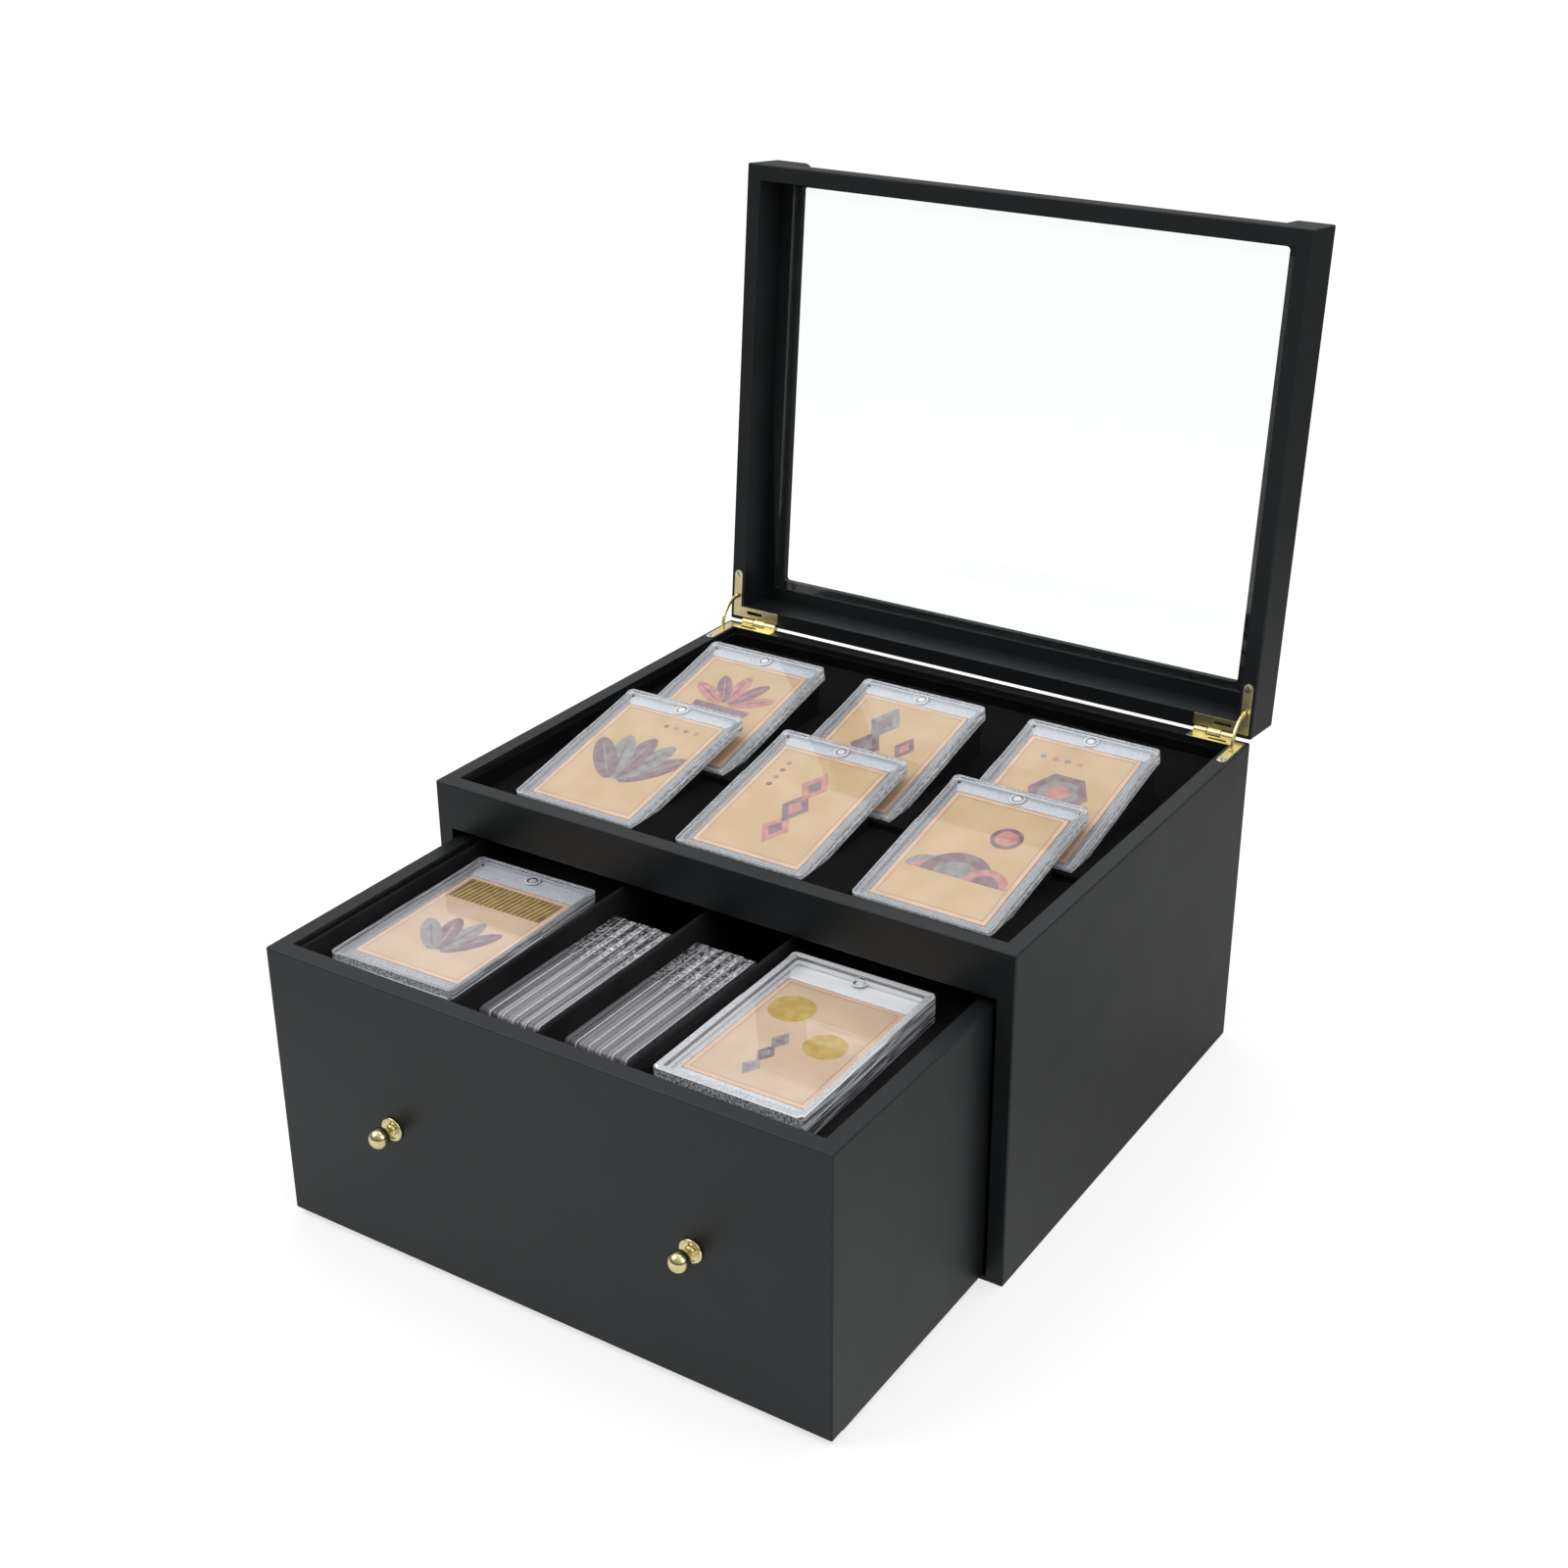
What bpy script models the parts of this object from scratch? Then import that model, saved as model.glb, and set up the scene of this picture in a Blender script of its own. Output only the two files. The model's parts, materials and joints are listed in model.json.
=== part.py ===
"""Card display box: a painted wooden box with a glazed lid on quadrant hinges, a velvet tray that
shows six cards in clear cases, and a drawer under the tray that holds more of them.

Metres, +Z up. The drawer opens towards -Y. The origin is the centre of the box's underside.
Every piece is modelled with the box shut, and empties on the joint axes then open it: the lid
stands against its stays and the drawer is part of the way out.
"""

import math

import bmesh
import bpy
from mathutils import Matrix, Vector

# Fits
fit_gap = 0.0003
overcut = 0.002
edge_chamfer = 0.0006

# Box
box_width = 0.340
box_depth = 0.271
box_height = 0.183
wall = 0.009
base_thickness = 0.0026
groove_depth = 0.003

# Tray
front_rail_height = 0.026
tray_floor_rise = 0.0023
tray_floor_thickness = 0.003
tray_liner_thickness = 0.002
tray_liner_drop = 0.003
ramp_sheet_thickness = 0.0012

# Lid
lid_height = 0.031
lid_closed_gap = 0.0003
lid_open_angle = math.radians(95.3)
face_frame_thickness = 0.007
window_side_margin = 0.021
window_front_margin = 0.013
window_rear_margin = 0.022
window_corner_radius = 0.002
pane_thickness = 0.002
pane_lap = 0.005
finger_rebate_depth = 0.004
finger_lip_height = 0.014
raised_end_length = 0.020
raised_end_slope = 0.0065

# Quadrant hinges
pin_back = 0.0005
pin_rise = 0.0007
pin_radius = 0.0008
pin_bore_clearance = 0.0003
knuckle_radius = 0.0022
knuckle_gap = 0.0004
barrel_length = 0.0235
leaf_thickness = 0.0015
leaf_rear_clearance = 0.0006
rear_leg_length = 0.032
rear_leg_width = 0.0062
side_leg_length = 0.031
side_leg_width = 0.0055
leaf_side_inset = 0.002
leaf_screw_radius = 0.0013
leaf_slot_length = 0.0105
leaf_slot_width = 0.0022
leaf_slot_inset = 0.012
stay_radius = 0.0155
stay_band = 0.002
stay_thickness = 0.0012
stay_pin_radius = 0.0008
stay_pin_length = 0.0034
stay_end_overhang = 0.0011
mortise_clearance = 0.0005

# Drawer
drawer_extension = 0.1365
drawer_side_gap = 0.002
drawer_back_gap = 0.002
drawer_top_gap = 0.0038
drawer_wall = 0.009
drawer_bottom_rise = 0.003
drawer_bottom_thickness = 0.004
drawer_liner_thickness = 0.0025
drawer_liner_drop = 0.003
divider_thickness = 0.003
divider_drop = 0.002
left_bay_room = 0.0184
right_bay_room = 0.0229
flat_case_headroom = 0.005
standing_case_headroom = 0.0125

# Knobs
knob_spacing = 0.173
knob_drop = 0.0015
knob_ball_radius = 0.0053
knob_ball_reach = 0.0093
knob_neck_radius = 0.0021
knob_flange_radius = 0.0062
knob_flange_thickness = 0.0013
knob_collar_radius = 0.0036
knob_collar_thickness = 0.0012
knob_stud_radius = 0.0015
knob_stud_length = 0.0065

# Cards and their clear cases
card_width = 0.0635
card_length = 0.0889
card_thickness = 0.0009
card_lift = 0.0018
case_width = 0.076
case_length = 0.106
case_thickness = 0.007
left_case_width = 0.0745
left_case_length = 0.1155
left_case_thickness = 0.0095
right_case_width = 0.078
right_case_length = 0.1185
right_case_thickness = 0.014
case_corner_radius = 0.0028
case_chamfer = 0.0006
case_base_share = 0.55
magnet_bore_radius = 0.0024
magnet_bore_depth = 0.0014
magnet_inset = 0.0052

# Where the cards lie
column_gap_share = 0.287
front_row_tilt = math.radians(11.8)
back_row_tilt = math.radians(13.4)
front_foot_inset = 0.0223
row_pitch = 0.071
front_foot_rise = 0.0006
back_foot_rise = 0.0041
front_row_shift_share = -0.021
back_row_shift_share = 0.064
front_right_slip = 0.0015
front_ramp_length = 0.064
back_ramp_length = 0.098
pocket_side_gap = 0.0005
terrace_sink = 0.0006
back_terrace_lead = 0.004
left_case_side_gap = 0.00445
left_case_inset = 0.0135
left_case_turn = math.radians(1.4)
right_case_side_gap = 0.0163
right_case_inset = 0.0083
right_case_turn = math.radians(0.8)
standing_inset = 0.0145
standing_side_gap = 0.001
standing_fill_share = 0.78

columns = {"left": -1, "middle": 0, "right": 1}

# Faceting
arc_steps = 4
slope_steps = 6
turned_steps = 20
knuckle_steps = 16
pin_steps = 12
stay_steps = 22
merge_distance = 0.000001

# Worked out from the sizes above
half_width = box_width / 2
half_depth = box_depth / 2
inner_x = half_width - wall
front_inner = -half_depth + wall
back_inner = half_depth - wall
rail_low = box_height - front_rail_height
tray_floor_low = rail_low + tray_floor_rise
tray_floor_high = tray_floor_low + tray_floor_thickness
ramp_sheet_low = tray_floor_high + fit_gap
ramp_sheet_high = ramp_sheet_low + ramp_sheet_thickness
lid_low = box_height + lid_closed_gap
lid_high = lid_low + lid_height
face_frame_low = lid_high - face_frame_thickness
pin_y = half_depth + pin_back
pin_z = box_height + pin_rise
drawer_x = inner_x - drawer_side_gap
drawer_low = base_thickness + fit_gap
drawer_high = rail_low - drawer_top_gap
drawer_back = back_inner - drawer_back_gap
drawer_bottom_low = drawer_low + drawer_bottom_rise
drawer_bottom_high = drawer_bottom_low + drawer_bottom_thickness
drawer_inner_x = drawer_x - drawer_wall
drawer_inner_front = -half_depth + drawer_wall
drawer_inner_back = drawer_back - drawer_wall
former_low = drawer_bottom_high + fit_gap
platform_high = drawer_high - right_case_thickness - flat_case_headroom
well_floor = drawer_high - case_width - standing_case_headroom


def material(name, color, roughness, metallic=0.0, transmission=0.0):
    made = bpy.data.materials.new(name)
    made.use_nodes = True
    shader = made.node_tree.nodes["Principled BSDF"]
    shader.inputs["Base Color"].default_value = (*color, 1.0)
    shader.inputs["Roughness"].default_value = roughness
    shader.inputs["Metallic"].default_value = metallic
    shader.inputs["Transmission Weight"].default_value = transmission
    made.diffuse_color = (*color, 1.0)
    return made


def clear_scene():
    for old in list(bpy.data.objects):
        bpy.data.objects.remove(old)


# Carriers: an empty on a joint axis, whose pieces are modelled where they lie when the box is shut


def carrier(name, home, parent=None, turn=0.0, shift=(0.0, 0.0, 0.0), swivel=0.0):
    """An empty at home that turns its pieces about X, swivels them about Z and moves them by shift."""
    empty = bpy.data.objects.new(name, None)
    bpy.context.scene.collection.objects.link(empty)
    empty["home"] = home
    empty.location = Vector(home) + Vector(shift)
    empty.rotation_euler = (turn, 0.0, swivel)
    if parent:
        ride(empty, parent)
    return empty


def ride(piece, parent):
    piece.parent = parent
    piece.matrix_parent_inverse = Matrix.Translation(-Vector(parent["home"]))


# Meshes


def piece_from(name, bm, look, parent=None):
    """A named object whose origin is the middle of its mesh."""
    bmesh.ops.recalc_face_normals(bm, faces=bm.faces)
    low = Vector(min(v.co[i] for v in bm.verts) for i in range(3))
    high = Vector(max(v.co[i] for v in bm.verts) for i in range(3))
    middle = (low + high) / 2
    bmesh.ops.translate(bm, verts=bm.verts, vec=-middle)
    mesh = bpy.data.meshes.new(name)
    bm.to_mesh(mesh)
    bm.free()
    piece = bpy.data.objects.new(name, mesh)
    piece.location = middle
    bpy.context.scene.collection.objects.link(piece)
    if look:
        mesh.materials.append(look)
    if parent:
        ride(piece, parent)
    return piece


def smooth(piece, angle=math.radians(40)):
    piece.data.shade_smooth()
    piece.data.set_sharp_from_angle(angle=angle)
    return piece


def turned_axis(axis):
    """The three coordinates that a flat point and a height along the axis stand for."""
    order = {"X": (2, 0, 1), "Y": (0, 2, 1), "Z": (0, 1, 2)}[axis]
    return lambda a, b, height: Vector((a, b, height)[i] for i in order)


def prism_mesh(outline, low, high, axis="Z"):
    """An outline pushed from low to high along X (outline in YZ), Y (in XZ) or Z (in XY)."""
    bm = bmesh.new()
    point = turned_axis(axis)
    face = bm.faces.new([bm.verts.new(point(a, b, low)) for a, b in outline])
    pushed = bmesh.ops.extrude_face_region(bm, geom=[face])["geom"]
    moved = [v for v in pushed if isinstance(v, bmesh.types.BMVert)]
    bmesh.ops.translate(bm, verts=moved, vec=point(0, 0, high - low))
    return bm


def rectangle(x, y):
    return [(x[0], y[0]), (x[1], y[0]), (x[1], y[1]), (x[0], y[1])]


def rounded_rectangle(x, y, radius):
    points = []
    corners = ((x[1], y[1], 0), (x[0], y[1], 1), (x[0], y[0], 2), (x[1], y[0], 3))
    for corner_x, corner_y, quarter in corners:
        centre_x = corner_x - math.copysign(radius, corner_x - (x[0] + x[1]) / 2)
        centre_y = corner_y - math.copysign(radius, corner_y - (y[0] + y[1]) / 2)
        for step in range(arc_steps + 1):
            angle = (quarter + step / arc_steps) * math.pi / 2
            points.append((centre_x + radius * math.cos(angle), centre_y + radius * math.sin(angle)))
    return points


def circle(centre, radius, steps):
    angles = [2 * math.pi * step / steps for step in range(steps)]
    return [(centre[0] + radius * math.cos(a), centre[1] + radius * math.sin(a)) for a in angles]


def facing(face):
    axis = max(range(3), key=lambda i: abs(face.normal[i]))
    return ("+" if face.normal[axis] > 0 else "-") + "xyz"[axis]


def board(name, x, y, z, look, parent=None, shown=""):
    """A flat board. The edges where two of its shown faces meet are chamfered."""
    bm = prism_mesh(rectangle(x, y), z[0], z[1])
    bmesh.ops.recalc_face_normals(bm, faces=bm.faces)
    shown_faces = set(shown.split())
    soft = [edge for edge in bm.edges if {facing(face) for face in edge.link_faces} <= shown_faces]
    if soft:
        bmesh.ops.bevel(bm, geom=soft, offset=edge_chamfer, segments=1, affect="EDGES")
    return piece_from(name, bm, look, parent)


def ring(name, x, y, thickness, z, look, parent=None):
    """A lining that runs round four walls, mitred at the corners."""
    bm = bmesh.new()
    inner_outline = rectangle((x[0] + thickness, x[1] - thickness), (y[0] + thickness, y[1] - thickness))
    loops = []
    for outline in (rectangle(x, y), inner_outline):
        loops.append([[bm.verts.new((a, b, height)) for a, b in outline] for height in z])
    (outer_low, outer_high), (inner_low, inner_high) = loops
    for this in range(4):
        other = (this + 1) % 4
        for first, second in ((outer_low, outer_high), (inner_low, inner_high),
                              (outer_low, inner_low), (outer_high, inner_high)):
            bm.faces.new((first[this], first[other], second[other], second[this]))
    return piece_from(name, bm, look, parent)


def turned(name, profile, look, parent=None, steps=turned_steps):
    """A profile of (radius, distance along -Y) points turned about the Y axis."""
    bm = bmesh.new()
    points = [bm.verts.new((radius, -reach, 0)) for radius, reach in profile]
    edges = [bm.edges.new(pair) for pair in zip(points, points[1:])]
    bmesh.ops.spin(bm, geom=points + edges, axis=(0, 1, 0), cent=(0, 0, 0),
                   angle=2 * math.pi, steps=steps, use_merge=True)
    bmesh.ops.remove_doubles(bm, verts=bm.verts, dist=merge_distance)
    return smooth(piece_from(name, bm, look, parent))


# Cutters and joined shapes


def helper(name, bm, parent=None):
    made = piece_from(name, bm, None, parent)
    made.hide_render = True
    made.display_type = "WIRE"
    return made


def combine(piece, other, operation="DIFFERENCE"):
    step = piece.modifiers.new(other.name, "BOOLEAN")
    step.operation = operation
    step.solver = "EXACT"
    step.object = other


def box_helper(name, x, y, z, parent=None):
    return helper(name, prism_mesh(rectangle(x, y), z[0], z[1]), parent)


def grown(span, by):
    return (span[0] - by, span[1] + by)


# Box


def build_box(paint, velvet):
    full_y = (-half_depth, half_depth)
    between = (-inner_x + fit_gap, inner_x - fit_gap)
    box = {
        "side_left": board("side_left", (-half_width, -inner_x), full_y, (0, box_height), paint,
                           shown="-x +z -y +y"),
        "side_right": board("side_right", (inner_x, half_width), full_y, (0, box_height), paint,
                            shown="+x +z -y +y"),
        "back_panel": board("back_panel", between, (back_inner, half_depth), (0, box_height), paint,
                            shown="+y +z"),
        "front_rail": board("front_rail", between, (-half_depth, front_inner),
                            (rail_low, box_height), paint, shown="-y +z -z"),
    }
    board("base_panel", between, (-half_depth, back_inner - fit_gap), (0, base_thickness), paint)
    reach = groove_depth - fit_gap
    floor_x = (-inner_x - reach, inner_x + reach)
    floor_y = (front_inner - reach, back_inner + reach)
    floor_z = (tray_floor_low, tray_floor_high)
    board("tray_floor", floor_x, floor_y, floor_z, paint)
    groove = box_helper("tray_floor_groove", grown(floor_x, fit_gap), grown(floor_y, fit_gap),
                        grown(floor_z, fit_gap))
    for panel in box.values():
        combine(panel, groove)
    liner_x = grown((-inner_x, inner_x), -fit_gap)
    liner_y = grown((front_inner, back_inner), -fit_gap)
    ring("tray_liner", liner_x, liner_y, tray_liner_thickness,
         (ramp_sheet_low, box_height - tray_liner_drop), velvet)
    inside = -tray_liner_thickness - fit_gap
    build_display_bed(velvet, grown(liner_x, inside), grown(liner_y, inside))
    return box


def row_feet():
    """Each row's foot (y, z of the cases' lower edge), tilt, sideways shift and ramp length."""
    front_y = front_inner + front_foot_inset
    return {
        "front": ((front_y, ramp_sheet_high + front_foot_rise), front_row_tilt, front_ramp_length),
        "back": ((front_y + row_pitch, ramp_sheet_high + back_foot_rise), back_row_tilt,
                 back_ramp_length),
    }


def case_middles(row):
    """The sideways place of the three cases in a row: they share out the width that they leave free."""
    spare = 2 * inner_x - len(columns) * case_width
    pitch = case_width + column_gap_share * spare
    shift = spare * {"front": front_row_shift_share, "back": back_row_shift_share}[row]
    middles = {column: place * pitch + shift for column, place in columns.items()}
    if row == "front":
        middles["right"] += front_right_slip
    return middles


def ramp_outline(foot, tilt, length, low):
    """The side view of a wedge under a row of cases, from low up to their undersides."""
    along = Vector((math.cos(tilt), math.sin(tilt)))
    out = Vector((-math.sin(tilt), math.cos(tilt)))
    bottom = Vector(foot) - fit_gap * out - fit_gap * along
    top = bottom + along * length
    return [tuple(bottom), tuple(top), (top.x, low), (bottom.x, low)]


def build_display_bed(velvet, x, y):
    """A sheet with one ramp under each case, and over it a terraced pad with a window round each ramp.

    The cases' lower ends sink into the windows, so that the pad's surface is level with their tops there.
    """
    sheet = board("display_ramps", x, y, (ramp_sheet_low, ramp_sheet_high), velvet)
    sunk_to = (ramp_sheet_low + ramp_sheet_high) / 2
    terraces = {}
    windows = []
    for row, (foot, tilt, length) in row_feet().items():
        outline = ramp_outline(foot, tilt, length, sunk_to)
        window_y = (foot[0] - case_thickness * math.sin(tilt) - fit_gap, outline[1][0] + fit_gap)
        terraces[row] = foot[1] + case_thickness * math.cos(tilt) - terrace_sink
        for column, middle in case_middles(row).items():
            span = grown((middle, middle), case_width / 2 + pocket_side_gap)
            ramp_span = grown(span, -pocket_side_gap)
            combine(sheet, helper(f"ramp_{row}_{column}", prism_mesh(outline, *ramp_span, axis="X")), "UNION")
            windows.append(box_helper(f"window_{row}_{column}", span, window_y,
                                      (ramp_sheet_low, box_height)))
        step_y = window_y[0] - back_terrace_lead
    low = ramp_sheet_high + fit_gap
    outline = [(y[0], low), (y[1], low), (y[1], terraces["back"]), (step_y, terraces["back"]),
               (step_y, terraces["front"]), (y[0], terraces["front"])]
    bed = piece_from("display_bed", prism_mesh(outline, *x, axis="X"), velvet)
    for window in windows:
        combine(bed, window)


# Lid


def build_lid(paint, clear, lid_carrier):
    full_x = (-half_width, half_width)
    full_y = (-half_depth, half_depth)
    between = (-inner_x + fit_gap, inner_x - fit_gap)
    rail_z = (lid_low, face_frame_low - fit_gap)
    lid = {
        "side_left": board("lid_side_left", (-half_width, -inner_x), full_y, rail_z, paint,
                           lid_carrier, shown="-x -z -y +y"),
        "side_right": board("lid_side_right", (inner_x, half_width), full_y, rail_z, paint,
                            lid_carrier, shown="+x -z -y +y"),
        "rear_rail": board("lid_rear_rail", between, (back_inner, half_depth), rail_z, paint,
                           lid_carrier, shown="+y -z"),
        "front_rail": board("lid_front_rail", between, (-half_depth, front_inner), rail_z, paint,
                            lid_carrier, shown="-y -z"),
        "face_frame": board("lid_face_frame", full_x, full_y, (face_frame_low, lid_high), paint,
                            lid_carrier, shown="-x +x -y +y +z"),
    }
    window_x = (-half_width + window_side_margin, half_width - window_side_margin)
    window_y = (-half_depth + window_front_margin, half_depth - window_rear_margin)
    window_outline = rounded_rectangle(window_x, window_y, window_corner_radius)
    window = helper("window_cut", prism_mesh(window_outline, lid_low, lid_high + overcut), lid_carrier)
    rabbet_z = (lid_low, face_frame_low + pane_thickness + fit_gap)
    rabbet = box_helper("pane_rabbet", grown(window_x, pane_lap), grown(window_y, pane_lap),
                        rabbet_z, lid_carrier)
    combine(lid["face_frame"], window)
    combine(lid["face_frame"], rabbet)
    pane_grow = pane_lap - fit_gap
    board("lid_pane", grown(window_x, pane_grow), grown(window_y, pane_grow),
          (face_frame_low, face_frame_low + pane_thickness), clear, lid_carrier)
    rebate_z = (lid_low + finger_lip_height, lid_high + overcut)
    rebate = helper("finger_rebate", prism_mesh(finger_rebate_outline(), *rebate_z), lid_carrier)
    combine(lid["face_frame"], rebate)
    combine(lid["front_rail"], rebate)
    return lid


def finger_rebate_outline():
    """The rebate along the lid's front edge, in plan. It runs out in a soft slope to a raised end."""
    raised = half_width - raised_end_length
    slope = []
    for step in range(slope_steps + 1):
        share = step / slope_steps
        depth = finger_rebate_depth * (1 - math.cos(math.pi * share)) / 2
        slope.append((raised - raised_end_slope * share, -half_depth + depth))
    right = [(raised, -half_depth - overcut)] + slope
    return right + [(-x, y) for x, y in reversed(right)]


# Quadrant hinges: side is 1 at the right corner and -1 at the left one


def leg_outline(side, grow=0.0):
    """The L of a leaf in plan: a leg along the rear edge and a round-ended one along the side."""
    outer = half_width - leaf_side_inset + grow
    rear = pin_y - knuckle_radius - leaf_rear_clearance + grow
    inner = outer - rear_leg_length - 2 * grow
    rear_leg_front = rear - rear_leg_width - 2 * grow
    side_leg_inner = outer - side_leg_width - 2 * grow
    half_leg = (outer - side_leg_inner) / 2
    end_centre = half_depth - side_leg_length + half_leg - grow
    points = [(inner, rear_leg_front), (inner, rear), (outer, rear)]
    for step in range(2 * arc_steps + 1):
        angle = -math.pi * step / (2 * arc_steps)
        points.append((outer - half_leg + half_leg * math.cos(angle),
                       end_centre + half_leg * math.sin(angle)))
    points.append((side_leg_inner, rear_leg_front))
    return [(side * x, y) for x, y in points]


def stay_place(side):
    return side * (half_width - leaf_side_inset - side_leg_width / 2)


def barrel_span():
    """The barrel's inner and outer ends, as distances from the middle of the box."""
    outer = inner_x - knuckle_gap
    return outer - barrel_length, outer


def knuckle_spans():
    inner, outer = barrel_span()
    length = (outer - inner - 2 * knuckle_gap) / 3
    starts = [inner + place * (length + knuckle_gap) for place in range(3)]
    return [(start, start + length) for start in starts]


def mirrored(span, side):
    return tuple(sorted((side * span[0], side * span[1])))


def build_leaf(name, side, low, knuckles, brass, parent=None, carries_pin=False):
    """One leaf: an L-shaped plate with its knuckles, a screw hole, a long slot and the stay's slot."""
    plate = piece_from(name, prism_mesh(leg_outline(side), low, low + leaf_thickness), brass, parent)
    rear = pin_y - knuckle_radius - leaf_rear_clearance
    for place, span in enumerate(knuckles):
        span = mirrored(span, side)
        barrel = prism_mesh(circle((pin_y, pin_z), knuckle_radius, knuckle_steps), *span, axis="X")
        combine(plate, helper(f"{name}_knuckle_{place}", barrel, parent), "UNION")
        tongue = box_helper(f"{name}_tongue_{place}", span, (rear - leaf_rear_clearance, pin_y),
                            (low, low + leaf_thickness), parent)
        combine(plate, tongue, "UNION")
    if carries_pin:
        pin_span = mirrored(grown(barrel_span(), -knuckle_gap), side)
        pin = prism_mesh(circle((pin_y, pin_z), pin_radius, pin_steps), *pin_span, axis="X")
        combine(plate, helper(f"{name}_pin", pin, parent), "UNION")
    else:
        bore_span = mirrored(grown(barrel_span(), overcut), side)
        bore = prism_mesh(circle((pin_y, pin_z), pin_radius + pin_bore_clearance, pin_steps),
                          *bore_span, axis="X")
        combine(plate, helper(f"{name}_bore", bore, parent))
    through = grown((low, low + leaf_thickness), overcut)
    screw_y = half_depth - side_leg_length + side_leg_width / 2
    hole = prism_mesh(circle((stay_place(side), screw_y), leaf_screw_radius, pin_steps), *through)
    combine(plate, helper(f"{name}_screw_hole", hole, parent))
    slot_end = half_width - leaf_side_inset - leaf_slot_inset + leaf_slot_width
    slot_y = rear - rear_leg_width / 2
    slot = box_helper(f"{name}_slot", mirrored((slot_end - leaf_slot_length, slot_end), side),
                      (slot_y - leaf_slot_width / 2, slot_y + leaf_slot_width / 2), through, parent)
    combine(plate, slot)
    stay_slot_x = grown((stay_place(side), stay_place(side)), stay_thickness / 2 + fit_gap)
    stay_slot_y = (pin_y - stay_radius - stay_band / 2 - fit_gap,
                   pin_y - stay_radius + stay_band / 2 + 2 * fit_gap)
    combine(plate, box_helper(f"{name}_stay_slot", stay_slot_x, stay_slot_y, through, parent))
    return plate


def stay_angles():
    """How far the stay reaches past the carcass leaf and past the lid leaf, and where its pins sit."""
    below = pin_rise + leaf_thickness + fit_gap + stay_pin_radius
    above = lid_low + leaf_thickness - pin_z + fit_gap + stay_pin_radius
    pin_below = math.asin(below / stay_radius)
    pin_above = math.asin(above / stay_radius)
    return pin_below, pin_above, stay_end_overhang / stay_radius


def build_stay(name, side, brass, stay_carrier):
    """A quarter ring about the pin, with a cross pin near each end that stops under a leaf."""
    pin_below, pin_above, overhang = stay_angles()
    middle = (pin_above - pin_below) / 2
    half = (lid_open_angle + pin_above + pin_below) / 2
    first = middle - half - overhang
    last = middle + half + overhang
    arcs = []
    for radius in (stay_radius + stay_band / 2, stay_radius - stay_band / 2):
        arc = []
        for step in range(stay_steps + 1):
            angle = first + (last - first) * step / stay_steps
            arc.append((pin_y - radius * math.cos(angle), pin_z + radius * math.sin(angle)))
        arcs.append(arc)
    outline = arcs[0] + arcs[1][::-1]
    across = grown((stay_place(side), stay_place(side)), stay_thickness / 2)
    stay = piece_from(name, prism_mesh(outline, *across, axis="X"), brass, stay_carrier)
    pin_across = grown((stay_place(side), stay_place(side)), stay_pin_length / 2)
    for end, angle in (("low", middle - half), ("high", middle + half)):
        centre = (pin_y - stay_radius * math.cos(angle), pin_z + stay_radius * math.sin(angle))
        cross = prism_mesh(circle(centre, stay_pin_radius, pin_steps), *pin_across, axis="X")
        combine(stay, helper(f"{name}_pin_{end}", cross, stay_carrier), "UNION")
    return smooth(stay)


def cut_hinge_seats(word, side, box, lid, lid_carrier):
    """Pockets for the leaves, a notch for the barrel and a mortise for the stay, in both halves."""
    pocket_low = (box_height - leaf_thickness - fit_gap, box_height + overcut)
    pocket_high = (lid_low - overcut, lid_low + leaf_thickness + fit_gap)
    outline = leg_outline(side, fit_gap)
    low_pocket = helper(f"leaf_pocket_{word}", prism_mesh(outline, *pocket_low))
    high_pocket = helper(f"lid_leaf_pocket_{word}", prism_mesh(outline, *pocket_high), lid_carrier)
    barrel_x = mirrored(grown(barrel_span(), knuckle_gap - fit_gap / 2), side)
    notch_y = (pin_y - knuckle_radius - leaf_rear_clearance - fit_gap, half_depth + overcut)
    low_notch = box_helper(f"barrel_notch_{word}", barrel_x, notch_y,
                           (pin_z - knuckle_radius - knuckle_gap, box_height + overcut))
    high_notch = box_helper(f"lid_barrel_notch_{word}", barrel_x, notch_y,
                            (lid_low - overcut, pin_z + knuckle_radius + knuckle_gap), lid_carrier)
    pin_below, pin_above, overhang = stay_angles()
    swing = (lid_open_angle + pin_above + pin_below) / 2 + overhang
    reach = stay_radius + stay_band / 2 + mortise_clearance
    back_reach = (stay_radius - stay_band / 2) * math.cos(swing) - 2 * mortise_clearance
    mortise_x = grown((stay_place(side), stay_place(side)), stay_pin_length / 2 + fit_gap)
    mortise_y = (pin_y - reach, pin_y - back_reach)
    low_mortise = box_helper(f"stay_mortise_{word}", mortise_x, mortise_y,
                             (pin_z - reach, box_height + overcut))
    high_mortise = box_helper(f"lid_stay_mortise_{word}", mortise_x, mortise_y,
                              (lid_low - overcut, pin_z + reach), lid_carrier)
    panel = box[f"side_{word}"]
    rail = lid[f"side_{word}"]
    for cutter in (low_pocket, low_mortise):
        combine(panel, cutter)
    for cutter in (low_pocket, low_notch):
        combine(box["back_panel"], cutter)
    for cutter in (high_pocket, high_mortise):
        combine(rail, cutter)
    for cutter in (high_pocket, high_notch):
        combine(lid["rear_rail"], cutter)


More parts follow.
